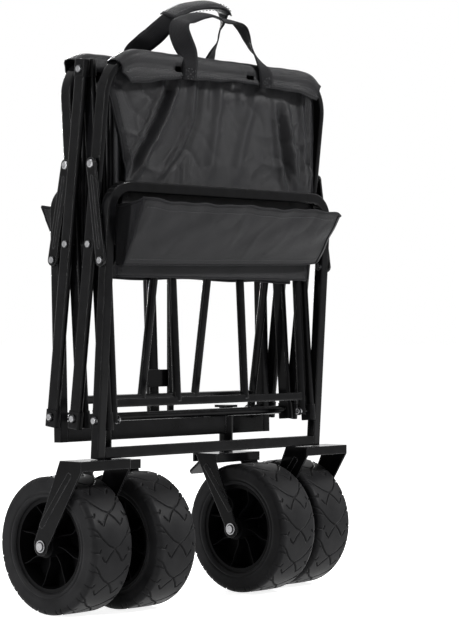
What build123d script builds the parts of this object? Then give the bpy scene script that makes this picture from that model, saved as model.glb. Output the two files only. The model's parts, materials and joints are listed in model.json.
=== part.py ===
from build123d import *
import os
from math import acos, asin, cos, degrees, radians, sin, tan

# A folding wagon, stored folded and upright on its four wheels.
# Millimetres. X runs across the wagon, Y from the rear end to the front end, Z up from the floor.
# Until export the rear posts' foot is at Y = 0; export moves the middle of the wagon to Y = 0.

# ---- wheels
TYRE_R = 102.0
TYRE_W = 80.0
SHOULDER_R = 9.0
RIM_R = 69.5
DRUM_WALL = 6.0
TYRE_SEAT_GAP = 0.1
AXLE_R = 5.0
AXLE_GAP = 0.06
AXLE_HEAD = 3.0
HUB_R = 17.0
HUB_PROUD = 8.0
WEB_T = 6.0
DRUM_INSET = 6.0
BEAD = 5.0
SHOULDER_DROP = 2.6
REAR_WHEEL_X = 248.5
REAR_AXLE_Y = 60.0
CASTER_X = 136.5
CASTER_TRAIL = 56.0

# ---- tubes and bars
POST = 16.0
POST_WALL = 1.4
POST_CORNER = 36.0
BAR_T = 9.0
BAR_W = 22.0
BAR_WALL = 1.3
RIM_CORNER = 60.0
ROD_R = 6.5
ROD_WALL = 1.2
CAP_WALL = 1.5
CAP_LEN = 26.0
CAP_FLOOR = 2.0
FIT = 0.05

# ---- end frames
REAR_X = 242.0
FRONT_X = 226.5
REAR_FOOT_Z = 229.0
FRONT_FOOT_Z = 249.0
FRAME_TOP_Z = 634.0
REAR_LEAN = 3.54
FRONT_LEAN = 1.5
REAR_BAR_H = 16.0
FRONT_BAR_H = 30.0

# ---- scissor linkage, one pair of crossed bars at each side
OUTER_X = 241.5
INNER_X = 227.5
FOOT_Y = -2.0
FOOT_Z = 285.0
HALF_BAR = 257.0
RISER = 278.0
INNER_ANGLE = 4.0
OUTER_ANGLE = 6.8
LINK_ON_RISER = 117.0
LINK_LEN = 142.0
LINK_T = 3.5
LINK_W = 18.0
REAR_LINK_X = 253.0
FRONT_LINK_X = 236.95
PIN_R = 4.0
HEAD_R = 6.0
HEAD_T = 2.6
BASE_TUBE_GAP = 0.6
LINK_GAP = 0.25

# ---- floor halves
REAR_RAIL_X = 212.0
FRONT_RAIL_X = 197.0
REAR_RUNG_X = 76.0
FRONT_RUNG_X = 60.0
RAIL_JOG = 22.0
JOG_AT = 222.0
JOG_LEN = 30.0
RAIL_TAIL = 5.0
FLOOR_LEN = 290.0
REAR_FLOOR_ANGLE = 3.2
FRONT_FLOOR_ANGLE = 8.3
FLOOR_BAR_AT = 24.0
FLOOR_BAR_W = 12.0
MID_BAR_AT = 268.0

# ---- cloth
CLOTH = 2.0
WALL_HALF = 215.0
REAR_WALL_Y = -12.5
FRONT_WALL_Y = 93.0
REAR_WALL_LOW = 495.0
FRONT_WALL_LOW = 546.0
SLEEVE_WALL = 2.0
SLEEVE_GAP = 1.0
SLEEVE_HALF = 172.0
CLOTH_GAP = 0.3
POCKET_DEPTH = 62.0
POCKET_RIM_Z = 602.0
POCKET_LOW_Z = 513.0
POCKET_HALF = 220.0
POCKET_FOOT = 14.0
POCKET_T = 2.4
POCKET_DIP = 16.0
FRONT_POCKET_HALF = 208.0
FRONT_POCKET_GAP = 46.0
SIDE_X = 211.0
SIDE_T = 15.0
SIDE_LOW = 540.0
SIDE_TOP = 768.0
FLOOR_CLOTH_HALF = 186.0
FLOOR_CLOTH_LOW = 205.0
FLOOR_CLOTH_T = 4.0
STRAP_W = 25.0
STRAP_T = 2.4
STRAP_BEND = 13.0
STRAP_TAB = 7.0
STRAP_RISE = 9.0
STRAP_FEET_X = (-71.0, 98.0)
STRAP_KNEE = 24.0
REAR_CROWN_Y = 12.0
REAR_CROWN_Z = 902.0
REAR_CROWN_X = (-60.0, 84.0)
FRONT_CROWN_Y = 56.0
FRONT_CROWN_Z = 917.0
FRONT_CROWN_X = (-42.0, 80.0)
WRAP_X = 20.0
WRAP_LEN = 84.0
WRAP_GAP = 0.5
WRAP_T = 3.0

# ---- forks
FORK_IN = 100.0
FORK_PLATE_T = 3.0
FORK_TOP_Z = 228.3
FORK_SKIRT = 14.0
FORK_BACK = 24.0
FORK_FRONT = 20.0
LEG_TOP_W = 44.0
LEG_LOW_W = 28.0
LEG_RIB = 3.0

# ---- caster mounts
SOCKET_R = 11.0
SOCKET_TOP_Z = 291.0
KINGPIN_R = 6.0
CASTER_TOP_Z = 219.0
CASTER_GAP = 0.4
PEDAL_W = 40.0
PEDAL_REACH = 44.0
PEDAL_T = 3.5
PEDAL_CORNER = 10.0
PEDAL_DOWN = 38.0
PEDAL_TUBE_R = 4.2
PEDAL_PIN_R = 2.5
EAR_T = 3.0
EAR_GAP = 0.7
EAR_REACH = 9.0
EAR_H = 12.0
CASTER_PLATE_MORE = 6.0
KINGPIN_SHORT = 8.0

# ---- pull handle
HANDLE_R = 10.0
HANDLE_WALL = 1.4
HANDLE_Y = 123.5
HANDLE_FOOT_Z = 266.0
HANDLE_LEN = 311.0
HANDLE_TAIL = 6.0
HANDLE_PLUG = 16.0
HANDLE_LEAN = 2.4
INNER_TUBE_R = 8.2
INNER_TUBE_UP = 39.0
INNER_TUBE_LIFT = 24.0
INNER_TUBE_PLUG = 20.0
COLLAR_WALL = 3.0
COLLAR_H = 30.0
COLLAR_LIP = 4.0
TUBE_GAP = 0.1
GRIP_HALF = 58.0
GRIP_R = 13.0
GRIP_SLANT = 8.0
GRIP_H = 46.0
GRIP_WIDE_Z = 12.0
GRIP_NECK = 24.0
GRIP_DIP = 6.0
GRIP_BEND = 11.0
GRIP_BAR_R = 8.5
GRIP_SOCKET = 34.0
BUTTON_R = 5.0
BUTTON_T = 5.2
BUTTON_GAP = 0.2
BUTTON_DEPTH = 6.0
BUTTON_PROUD = 2.4
STRUT_R = 5.5
STRUT_X = 21.0
STRUT_GAP = 0.6
KEEPER_Z = 340.0
KEEPER_H = 27.0
KEEPER_HALF = 28.0
KEEPER_X = 4.0
KEEPER_T = 3.0
CLIP_T = 2.0
CLIP_GAP = 0.4
SCREW_R = 3.6
SCREW_T = 2.2
LUG_T = 3.0
LUG_GAP = 1.5
LUG_H = 24.0
LUG_END = 9.0

sides = (-1, 1)


def along(start, angle, length):
    """The (y, z) point a length from start, leaning angle degrees towards the rear."""
    return (start[0] - length * sin(radians(angle)), start[1] + length * cos(radians(angle)))


# ---- pivots, as (y, z)
foot_rear = (FOOT_Y, FOOT_Z)
pivot_rear = along(foot_rear, -INNER_ANGLE, HALF_BAR)
pivot_top = along(foot_rear, -INNER_ANGLE, 2 * HALF_BAR)
pivot_front = (pivot_top[0] + HALF_BAR * sin(radians(OUTER_ANGLE)),
               pivot_top[1] - HALF_BAR * cos(radians(OUTER_ANGLE)))
foot_front = (pivot_top[0] + 2 * HALF_BAR * sin(radians(OUTER_ANGLE)),
              pivot_top[1] - 2 * HALF_BAR * cos(radians(OUTER_ANGLE)))
pivot_base = (pivot_rear[0] + HALF_BAR * sin(radians(OUTER_ANGLE)),
              pivot_rear[1] - HALF_BAR * cos(radians(OUTER_ANGLE)))
riser_rear_top = along(pivot_rear, OUTER_ANGLE, RISER)
riser_front_top = along(pivot_front, -INNER_ANGLE, RISER)
link_rear_top = along(pivot_rear, OUTER_ANGLE, LINK_ON_RISER)
link_front_top = along(pivot_front, -INNER_ANGLE, LINK_ON_RISER)


def rear_post_y(z):
    return -(z - REAR_FOOT_Z) * tan(radians(REAR_LEAN))


def front_post_y(z):
    return foot_front[0] + (z - foot_front[1]) * tan(radians(FRONT_LEAN))


def link_foot(top, post_y):
    """The pivot on a leaning post that is one link length below the link's top pivot."""
    low, high = FOOT_Z, top[1]
    for _ in range(50):
        z = (low + high) / 2
        reach = ((post_y(z) - top[0]) ** 2 + (z - top[1]) ** 2) ** 0.5
        low, high = (z, high) if reach > LINK_LEN else (low, z)
    return (post_y(z), z)


link_rear_foot = link_foot(link_rear_top, rear_post_y)
link_front_foot = link_foot(link_front_top, front_post_y)

# ---- the box that the origin is the middle of
pedal_lean = radians(PEDAL_DOWN)
brake_tip_y = (front_post_y(FRONT_FOOT_Z + FRONT_BAR_H / 2) + FORK_FRONT + CASTER_PLATE_MORE + EAR_REACH / 2
               + (PEDAL_REACH + 1) * cos(pedal_lean) + PEDAL_T / 2 * sin(pedal_lean))
pocket_tip_y = REAR_WALL_Y - POCKET_DEPTH
middle_y = (pocket_tip_y + brake_tip_y) / 2
parts = {}


def add(name, *shapes):
    """Keep a node: one or more solids under one name."""
    solids = [s for shape in shapes for s in shape.solids()]
    parts[name] = Compound(children=solids) if len(solids) > 1 else solids[0]


def at(x, y, z, turn_x=0.0):
    return Location((x, y, z), (turn_x, 0, 0))


def tilt(p, q):
    """Turn about X that points +Z from p to q, both (y, z)."""
    dy = q[0] - p[0]
    dz = q[1] - p[1]
    return degrees(acos(dz / (dy * dy + dz * dz) ** 0.5)) * (-1 if dy > 0 else 1)


def cyl(radius, x0, x1, y, z):
    """A cylinder along X."""
    body = Cylinder(radius, abs(x1 - x0), align=(Align.CENTER, Align.CENTER, Align.MIN))
    return Location((min(x0, x1), y, z), (0, 90, 0)) * body


def ring_section(width, depth, corner, wall):
    outer = RectangleRounded(width, depth, corner)
    return outer - RectangleRounded(width - 2 * wall, depth - 2 * wall, max(corner - wall, 0.4))


def flat_bar(x, start, angle, low, high):
    """A hollow flat bar in the plane X = x, from low to high along a line through start."""
    section = ring_section(BAR_T, BAR_W, 3.5, BAR_WALL)
    body = extrude(section, high - low)
    return at(x, *start, angle) * (Location((0, 0, low)) * body)


def bar_cap(x, start, angle, end, up):
    """A moulded cap over a flat bar's end; end is where the bar stops, along its line."""
    way = 1 if up else -1
    body = extrude(RectangleRounded(BAR_T + 2 * CAP_WALL, BAR_W + 2 * CAP_WALL, 5), CAP_LEN)
    body = fillet(body.faces().sort_by(Axis.Z)[-1].edges(), 1.2)
    inside = RectangleRounded(BAR_T + 2 * FIT, BAR_W + 2 * FIT, 3.5)
    body -= extrude(inside, CAP_LEN - CAP_FLOOR)
    if not up:
        body = Rot(180, 0, 0) * body
    shift = end - way * (CAP_LEN - CAP_FLOOR)
    return at(x, *start, angle) * (Location((0, 0, shift)) * body)


def pin_hole(y, z, radius=PIN_R + FIT):
    return cyl(radius, -300, 300, y, z)


def head(x, y, z, side, radius=HEAD_R, thick=HEAD_T):
    """A low domed rivet head that faces outwards at one side."""
    body = Cylinder(radius, thick, align=(Align.CENTER, Align.CENTER, Align.MIN))
    body = fillet(body.faces().sort_by(Axis.Z)[-1].edges(), thick * 0.75)
    return Location((x, y, z), (0, 90 * side, 0)) * body


def rivet(side, x_in, x_out, y, z):
    """A rivet along X from x_in to x_out (distances from the middle), headed at both ends."""
    body = cyl(PIN_R, side * x_in, side * x_out, y, z)
    body += head(side * x_out, y, z, side)
    return body + head(side * x_in, y, z, -side, HEAD_R, 1.2)


def frame_hoop(half, foot_z, top_z, lean, pivot):
    """A square-tube hoop: two posts and a top bar with bent corners, leaning about its foot."""
    mid = top_z - POST / 2
    path = FilletPolyline((-half, 0, foot_z), (-half, 0, mid), (half, 0, mid), (half, 0, foot_z),
                          radius=POST_CORNER)
    section = Plane((-half, 0, foot_z)) * ring_section(POST, POST, 2.2, POST_WALL)
    hoop = sweep(section, path)
    return at(0, *pivot, lean) * (Location((0, 0, -pivot[1])) * hoop)


def rim_hoop(half, start, angle, low, high):
    """A flat-bar hoop: two legs and a rim bar with wide bent corners."""
    path = FilletPolyline((-half, 0, low), (-half, 0, high), (half, 0, high), (half, 0, low),
                          radius=RIM_CORNER)
    section = Plane((-half, 0, low)) * ring_section(BAR_T, BAR_W, 3.5, BAR_WALL)
    return at(0, *start, angle) * sweep(section, path)


# ---------------------------------------------------------------- rear end frame
rear_pivot_line = (rear_post_y(FOOT_Z), FOOT_Z)
rear_hoop = frame_hoop(REAR_X, REAR_FOOT_Z, FRAME_TOP_Z, REAR_LEAN, rear_pivot_line)
rear_hoop -= pin_hole(*foot_rear)
rear_hoop -= pin_hole(*link_rear_foot)
add("rear_frame_hoop", rear_hoop)

bar_z = REAR_FOOT_Z + REAR_BAR_H / 2
bar_half = REAR_X - POST / 2
rear_bar = extrude(ring_section(REAR_BAR_H, POST - 1, 2.2, POST_WALL), 2 * bar_half)
add("rear_bottom_bar", Location((-bar_half, rear_post_y(bar_z), bar_z), (0, 90, 0)) * rear_bar)


def wheel_fork(back, front, top_z, axle_y, skirt):
    """A pressed fork about X = 0: a top plate with skirts and two tapering legs to the axle."""
    half = FORK_IN / 2
    leg_x = half - FORK_PLATE_T
    plate = Box(FORK_IN, back + front, FORK_PLATE_T, align=(Align.CENTER, Align.MIN, Align.MAX))
    fork = Location((0, -back, top_z)) * plate
    for y in (-back + FORK_PLATE_T / 2, front - FORK_PLATE_T / 2):
        fork += Location((0, y, top_z - skirt / 2)) * Box(FORK_IN, FORK_PLATE_T, skirt)
    lean_y = (front - back) / 2
    outline = Polyline((lean_y - LEG_TOP_W / 2, top_z), (lean_y + LEG_TOP_W / 2, top_z),
                       (axle_y + LEG_LOW_W / 2, TYRE_R + 2 * LEG_RIB), (axle_y + LEG_LOW_W / 2, TYRE_R),
                       (axle_y - LEG_LOW_W / 2, TYRE_R),
                       (lean_y - LEG_TOP_W / 2, top_z - FORK_SKIRT), close=True)
    leg = extrude(Plane.YZ * make_face(outline), FORK_PLATE_T)
    leg += cyl(LEG_LOW_W / 2, 0, FORK_PLATE_T, axle_y, TYRE_R)
    rib_top = (lean_y, top_z - 1.3 * FORK_SKIRT)
    rib_low = (axle_y, TYRE_R + LEG_LOW_W)
    rib_len = ((rib_low[0] - rib_top[0]) ** 2 + (rib_low[1] - rib_top[1]) ** 2) ** 0.5
    rib = Box(LEG_RIB / 2, 3 * LEG_RIB, rib_len, align=(Align.CENTER, Align.CENTER, Align.MIN))
    rib = fillet(rib.edges().filter_by(Axis.X), LEG_RIB)
    rib = at(0, *rib_low, tilt(rib_low, rib_top)) * rib
    for side in sides:
        x = side * (leg_x + FORK_PLATE_T / 2) - FORK_PLATE_T / 2
        fork += Location((x, 0, 0)) * leg
        fork += Location((side * half + side * 0.5, 0, 0)) * rib
    return fork - cyl(AXLE_R + FIT, -half - 5, half + 5, axle_y, TYRE_R)


def axle(reach):
    """A wheel axle about X = 0: a shaft with a bolt head and a nut outside the fork."""
    bolt = cyl(AXLE_R, -reach, reach, 0, 0)
    for side in sides:
        washer = cyl(9.0, side * reach, side * (reach + 1.2), 0, 0)
        bolt += washer + head(side * reach, 0, 0, side, 7.5, AXLE_HEAD)
    return bolt


def tyre():
    """A wide tyre about its own centre, with rounded shoulders and a shallow groove by the rim."""
    half = TYRE_W / 2
    outline = Polyline((RIM_R, BEAD - half), (RIM_R + BEAD, -half), (TYRE_R - SHOULDER_R, -half),
                       (TYRE_R - SHOULDER_DROP, SHOULDER_DROP - half),
                       (TYRE_R, SHOULDER_R - half), (TYRE_R, half - SHOULDER_R),
                       (TYRE_R - SHOULDER_DROP, half - SHOULDER_DROP),
                       (TYRE_R - SHOULDER_R, half), (RIM_R + BEAD, half), (RIM_R, half - BEAD), close=True)
    body = revolve(Plane.XZ * make_face(outline), Axis.Z)
    return Rot(0, 90, 0) * body


def rim():
    """A moulded wheel centre: a drum, a middle web and a hub that stands proud at both faces."""
    drum_half = TYRE_W / 2 - DRUM_INSET
    hub_half = drum_half + HUB_PROUD
    bore = AXLE_R + AXLE_GAP
    drum_in = RIM_R - DRUM_WALL
    drum_out = RIM_R - TYRE_SEAT_GAP
    web = WEB_T / 2
    outline = Polyline((bore, -hub_half), (HUB_R, -hub_half), (HUB_R, -web), (drum_in, -web),
                       (drum_in, -drum_half), (drum_out, -drum_half), (drum_out, drum_half),
                       (drum_in, drum_half), (drum_in, web), (HUB_R, web), (HUB_R, hub_half),
                       (bore, hub_half), close=True)
    body = revolve(Plane.XZ * make_face(outline), Axis.Z)
    return Rot(0, 90, 0) * body


tyre_body = tyre()
rim_body = rim()
fork_half = FORK_IN / 2
axle_body = axle(fork_half + 0.5)
rear_fork = wheel_fork(FORK_BACK, FORK_FRONT, FORK_TOP_Z, REAR_AXLE_Y, FORK_SKIRT)
for side, label in ((-1, "left"), (1, "right")):
    place = Location((side * REAR_WHEEL_X, 0, 0))
    add(f"rear_fork_{label}", place * rear_fork)
    hub = Location((side * REAR_WHEEL_X, REAR_AXLE_Y, TYRE_R))
    add(f"rear_tyre_{label}", hub * tyre_body)
    add(f"rear_rim_{label}", hub * rim_body)
add("rear_axles", *[Location((s * REAR_WHEEL_X, REAR_AXLE_Y, TYRE_R)) * axle_body for s in sides])

# ---------------------------------------------------------------- scissor bars
BAR_END = 13.0
top_cap_end = 2 * HALF_BAR + BAR_END
rear_bars = []
rear_bar_caps = []
front_bars = []
front_bar_caps = []
for s in sides:
    bar = flat_bar(s * INNER_X, foot_rear, -INNER_ANGLE, -BAR_END, top_cap_end)
    bar -= pin_hole(*foot_rear) + pin_hole(*pivot_rear) + pin_hole(*pivot_top)
    rear_bars.append(bar)
    for end, up in ((-BAR_END, False), (top_cap_end, True)):
        cap = bar_cap(s * INNER_X, foot_rear, -INNER_ANGLE, end, up)
        rear_bar_caps.append(cap - pin_hole(*(pivot_top if up else foot_rear)))
    bar = flat_bar(s * OUTER_X, foot_front, OUTER_ANGLE, -BAR_END, top_cap_end)
    bar -= pin_hole(*foot_front) + pin_hole(*pivot_front) + pin_hole(*pivot_top)
    front_bars.append(bar)
    for end, up in ((-BAR_END, False), (top_cap_end, True)):
        cap = bar_cap(s * OUTER_X, foot_front, OUTER_ANGLE, end, up)
        front_bar_caps.append(cap - pin_hole(*(pivot_top if up else foot_front)))
add("rear_lift_bars", *rear_bars)
add("rear_lift_bar_caps", *rear_bar_caps)
add("front_lift_bars", *front_bars)
add("front_lift_bar_caps", *front_bar_caps)

rear_rim = rim_hoop(OUTER_X, pivot_rear, OUTER_ANGLE, -HALF_BAR - BAR_END, RISER)
rear_rim -= pin_hole(*pivot_rear) + pin_hole(*pivot_base) + pin_hole(*link_rear_top)
add("rear_rim_frame", rear_rim)
front_rim = rim_hoop(INNER_X, pivot_front, -INNER_ANGLE, -HALF_BAR - BAR_END, RISER)
front_rim -= pin_hole(*pivot_front) + pin_hole(*pivot_base) + pin_hole(*link_front_top)
add("front_rim_frame", front_rim)
rim_end = -HALF_BAR - BAR_END
add("rear_rim_caps", *[bar_cap(s * OUTER_X, pivot_rear, OUTER_ANGLE, rim_end, False)
                       - pin_hole(*pivot_base) for s in sides])
add("front_rim_caps", *[bar_cap(s * INNER_X, pivot_front, -INNER_ANGLE, rim_end, False)
                        - pin_hole(*pivot_base) for s in sides])

cap_out = BAR_T / 2 + CAP_WALL
bar_out = BAR_T / 2
inner_face = INNER_X - bar_out
outer_face = OUTER_X + bar_out
add("rear_bar_pins", *[rivet(s, INNER_X - cap_out, OUTER_X + cap_out, *pivot_top) for s in sides],
    *[rivet(s, inner_face, outer_face, *pivot_rear) for s in sides])
add("front_bar_pins", *[rivet(s, inner_face, outer_face, *pivot_front) for s in sides])

tube_half = INNER_X - cap_out - BASE_TUBE_GAP
base_tube = cyl(ROD_R, -tube_half, tube_half, *pivot_base)
base_tube -= cyl(ROD_R - ROD_WALL, -tube_half + 14, tube_half - 14, *pivot_base)
base_tube -= cyl(PIN_R, -tube_half - 1, -tube_half + 12, *pivot_base)
base_tube -= cyl(PIN_R, tube_half + 1, tube_half - 12, *pivot_base)
add("base_cross_tube", base_tube)
base_bolts = [cyl(PIN_R, s * (tube_half - 12), s * (OUTER_X + cap_out), *pivot_base)
              + head(s * (OUTER_X + cap_out), *pivot_base, s, 6.5, 4.0) for s in sides]

# ---------------------------------------------------------------- links


def link(x, top, foot, bar_face):
    """A flat stamped link with a raised rib; its upper rivet is part of it and ends just off the bar."""
    length = ((foot[0] - top[0]) ** 2 + (foot[1] - top[1]) ** 2) ** 0.5
    strip = Location((0, 0, length / 2)) * Box(LINK_T, LINK_W, length)
    strip += cyl(LINK_W / 2, -LINK_T / 2, LINK_T / 2, 0, 0)
    strip += cyl(LINK_W / 2, -LINK_T / 2, LINK_T / 2, 0, length)
    rib = Box(1.4, 4.5, length - 34, align=(Align.CENTER, Align.CENTER, Align.MIN))
    rib = fillet(rib.edges().filter_by(Axis.X), 2)
    way = 1 if x > 0 else -1
    strip += Location((way * LINK_T / 2, 0, 17)) * rib
    placed = at(x, *foot, tilt(foot, top)) * strip
    placed += head(x + way * LINK_T / 2, *top, way)
    placed += cyl(HEAD_R, way * (bar_face + LINK_GAP), x, *top)
    return placed - pin_hole(*foot)


add("rear_links", *[link(s * REAR_LINK_X, link_rear_top, link_rear_foot, outer_face) for s in sides])
front_bar_face = INNER_X + bar_out
add("front_links", *[link(s * FRONT_LINK_X, link_front_top, link_front_foot, front_bar_face) for s in sides])


def link_rivet(s, x_in, link_x, y, z, carrier_face):
    """A rivet through a bar or post and a link, with a washer between them."""
    out = link_x + LINK_T / 2
    body = cyl(PIN_R, s * x_in, s * out, y, z) + head(s * out, y, z, s)
    body += head(s * x_in, y, z, -s, HEAD_R, 1.2)
    washer_end = link_x - LINK_T / 2 - 0.1
    if washer_end - carrier_face > 0.3:
        body += cyl(HEAD_R, s * carrier_face, s * washer_end, y, z)
    return body


rear_post_in = REAR_X - POST / 2
rear_post_out = REAR_X + POST / 2
front_post_in = FRONT_X - POST / 2
front_post_out = FRONT_X + POST / 2
add("rear_rim_pins", *base_bolts)
rear_link_rivets = [link_rivet(s, rear_post_in, REAR_LINK_X, *link_rear_foot, rear_post_out) for s in sides]
front_link_rivets = [link_rivet(s, front_post_in, FRONT_LINK_X, *link_front_foot, front_post_out)
                     for s in sides]

# ---------------------------------------------------------------- floor halves


def rod(points, radius=ROD_R):
    """A round rod through points, with rounded bends."""
    path = Polyline(*points) if len(points) == 2 else FilletPolyline(*points, radius=22)
    start = path @ 0
    section = Plane(start, z_dir=path % 0) * Circle(radius)
    return sweep(section, path)


def floor_half(rail_x, rung_x):
    """A comb of rails and rungs on one cross bar, standing up from its hinge line at z = 0."""
    inner_x = rail_x - RAIL_JOG
    frame = None
    for s in sides:
        rail = rod([(s * rail_x, 0, -RAIL_TAIL), (s * rail_x, 0, JOG_AT),
                    (s * inner_x, 0, JOG_AT + JOG_LEN), (s * inner_x, 0, FLOOR_LEN)])
        frame = rail if frame is None else frame + rail
        frame += rod([(s * rung_x, 0, FLOOR_BAR_AT), (s * rung_x, 0, FLOOR_LEN)])
    bar = Box(2 * rail_x, FLOOR_BAR_W - 2, FLOOR_BAR_W)
    frame += Location((0, 0, FLOOR_BAR_AT)) * fillet(bar.edges().filter_by(Axis.X), 2)
    frame += cyl(ROD_R - 1.0, -inner_x, inner_x, 0, MID_BAR_AT)
    return frame - pin_hole(0, 0)


rear_floor = at(0, *foot_rear, -REAR_FLOOR_ANGLE) * floor_half(REAR_RAIL_X, REAR_RUNG_X)
front_floor = at(0, *foot_front, FRONT_FLOOR_ANGLE) * floor_half(FRONT_RAIL_X, FRONT_RUNG_X)
add("rear_floor_frame", rear_floor)
add("front_floor_frame", front_floor)


def hinge_bolt(s, x_in, x_out, y, z, spacers):
    body = cyl(PIN_R, s * x_in, s * x_out, y, z) + head(s * x_out, y, z, s, 6.5, 4.0)
    body += head(s * x_in, y, z, -s, 6.5, 4.5)
    for a, b in spacers:
        body += cyl(HEAD_R, s * a, s * b, y, z)
    return body


rear_bolt_in = REAR_RAIL_X - ROD_R - 0.2
front_bolt_in = FRONT_RAIL_X - ROD_R - 0.2
rear_hinge_bolts = [hinge_bolt(s, rear_bolt_in, rear_post_out, *foot_rear, []) for s in sides]
add("rear_frame_pins", *rear_hinge_bolts, *rear_link_rivets)
front_spacer = (FRONT_RAIL_X + ROD_R + 0.3, front_post_in)
front_bolt_out = OUTER_X + cap_out + 0.2
front_hinge_bolts = [hinge_bolt(s, front_bolt_in, front_bolt_out, *foot_front, [front_spacer]) for s in sides]
add("front_frame_pins", *front_hinge_bolts, *front_link_rivets)

# ---------------------------------------------------------------- front end frame
front_hoop = frame_hoop(FRONT_X, FRONT_FOOT_Z, FRAME_TOP_Z, -FRONT_LEAN, foot_front)
front_hoop -= pin_hole(*foot_front)
front_hoop -= pin_hole(*link_front_foot)
add("front_frame_hoop", front_hoop)

front_bar_z = FRONT_FOOT_Z + FRONT_BAR_H / 2
front_bar_y = front_post_y(front_bar_z)
front_bar_half = FRONT_X - POST / 2
front_bar = extrude(ring_section(FRONT_BAR_H, POST - 1, 2.2, POST_WALL), 2 * front_bar_half)
front_bar = Location((-front_bar_half, front_bar_y, front_bar_z), (0, 90, 0)) * front_bar
caster_y = front_bar_y
axle_y = caster_y - CASTER_TRAIL
for s in sides:
    front_bar -= Location((s * CASTER_X, caster_y, front_bar_z)) * Cylinder(SOCKET_R, FRONT_BAR_H + 4)
add("front_bottom_bar", front_bar)

socket_low = CASTER_TOP_Z + CASTER_GAP
socket = Location((0, 0, socket_low)) * Cylinder(SOCKET_R, SOCKET_TOP_Z - socket_low,
                                                 align=(Align.CENTER, Align.CENTER, Align.MIN))
socket += Location((0, 0, SOCKET_TOP_Z)) * Box(26, 26, 4, align=(Align.CENTER, Align.CENTER, Align.MIN))
socket -= Location((0, 0, 0)) * Cylinder(KINGPIN_R + AXLE_GAP, 2 * (SOCKET_TOP_Z - 6))
add("caster_sockets", *[Location((s * CASTER_X, caster_y, 0)) * socket for s in sides])

strut_y = front_bar_y + (POST - 1) / 2 + STRUT_R
strut_foot = FRONT_FOOT_Z + 4.0
strut_len = FRAME_TOP_Z - POST - STRUT_GAP - strut_foot
strut = Cylinder(STRUT_R, strut_len, align=(Align.CENTER, Align.CENTER, Align.MIN))
strut = Location((STRUT_X, strut_y, strut_foot)) * strut
add("front_centre_strut", strut)

lean_handle = at(0, HANDLE_Y, HANDLE_FOOT_Z, -HANDLE_LEAN) * Location((0, -HANDLE_Y, -HANDLE_FOOT_Z))
keeper_y = strut_y + STRUT_R
keeper = Location((KEEPER_X, keeper_y + KEEPER_T / 2, KEEPER_Z)) * Box(2 * KEEPER_HALF, KEEPER_T, KEEPER_H)
clip_bore = Cylinder(HANDLE_R + CLIP_GAP, KEEPER_H + 2)
clip_mouth = Location((0, HANDLE_R + 2, 0)) * Box(2 * HANDLE_R + 2 * CLIP_GAP, 2 * HANDLE_R, KEEPER_H + 2)
clip_place = lean_handle * Location((0, HANDLE_Y, KEEPER_Z))
clip = clip_place * (Cylinder(HANDLE_R + CLIP_GAP + CLIP_T, KEEPER_H) - clip_bore - clip_mouth)
keeper = keeper - clip_place * clip_bore - clip_place * clip_mouth + clip
keeper -= strut
screw = Cylinder(SCREW_R, SCREW_T, align=(Align.CENTER, Align.CENTER, Align.MIN))
screw = fillet(screw.edges().sort_by(Axis.Z)[-1:], SCREW_T / 2)
keeper_screw_x = KEEPER_HALF - KEEPER_T * 2
keeper_screws = [Location((KEEPER_X + s * keeper_screw_x, keeper_y + KEEPER_T, KEEPER_Z), (-90, 0, 0))
                 * screw for s in sides]

lug_y = front_bar_y + (POST - 1) / 2
lug_x = HANDLE_R + LUG_GAP
lug_reach = HANDLE_Y + LUG_END - lug_y
lugs = []
for s in sides:
    lug = Box(LUG_T, lug_reach, LUG_H, align=(Align.CENTER, Align.MIN, Align.CENTER))
    lug = Location((s * (lug_x + LUG_T / 2), lug_y, HANDLE_FOOT_Z)) * lug
    lug = fillet(lug.edges().filter_by(Axis.X).sort_by(Axis.Y)[-2:], LUG_H / 3)
    lugs.append(lug - pin_hole(HANDLE_Y, HANDLE_FOOT_Z))
add("handle_brackets", keeper, *lugs)
lug_out = lug_x + LUG_T
handle_bolt = cyl(PIN_R, -lug_out, lug_out, HANDLE_Y, HANDLE_FOOT_Z)
for s in sides:
    handle_bolt += head(s * lug_out, HANDLE_Y, HANDLE_FOOT_Z, s)
add("handle_fixings", handle_bolt, *keeper_screws)

# ---------------------------------------------------------------- casters
caster_front = FORK_FRONT + CASTER_PLATE_MORE
caster_fork = wheel_fork(FORK_BACK + 4, caster_front, CASTER_TOP_Z, -CASTER_TRAIL, FORK_SKIRT)
kingpin_top = SOCKET_TOP_Z - KINGPIN_SHORT
kingpin = Location((0, 0, CASTER_TOP_Z)) * Cylinder(KINGPIN_R, kingpin_top - CASTER_TOP_Z,
                                                    align=(Align.CENTER, Align.CENTER, Align.MIN))
pedal_hinge = (caster_front + EAR_REACH / 2, CASTER_TOP_Z - EAR_REACH)
pedal_lugs = None
for s in sides:
    ear = Location((s * (PEDAL_W + EAR_T + 2 * EAR_GAP) / 2, caster_front, pedal_hinge[1])) * Box(
        EAR_T, EAR_REACH, EAR_H, align=(Align.CENTER, Align.MIN, Align.CENTER))
    pedal_lugs = ear if pedal_lugs is None else pedal_lugs + ear
caster_fork += pedal_lugs
pedal_bore = cyl(PEDAL_PIN_R + FIT, -FORK_IN, FORK_IN, *pedal_hinge)
caster_fork -= pedal_bore
pedal_pin_half = PEDAL_W / 2 + EAR_T + 2 * EAR_GAP
pedal_pin = cyl(PEDAL_PIN_R, -pedal_pin_half, pedal_pin_half, *pedal_hinge)
blade = Box(PEDAL_W, PEDAL_REACH, PEDAL_T, align=(Align.CENTER, Align.MIN, Align.CENTER))
blade = fillet(blade.edges().filter_by(Axis.Z).sort_by(Axis.Y)[-2:], PEDAL_CORNER)
blade = Location((0, 1, 0)) * blade
pedal = at(0, *pedal_hinge, -PEDAL_DOWN) * (blade + cyl(PEDAL_TUBE_R, -PEDAL_W / 2, PEDAL_W / 2, 0, 0))
pedal -= pedal_bore
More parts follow.
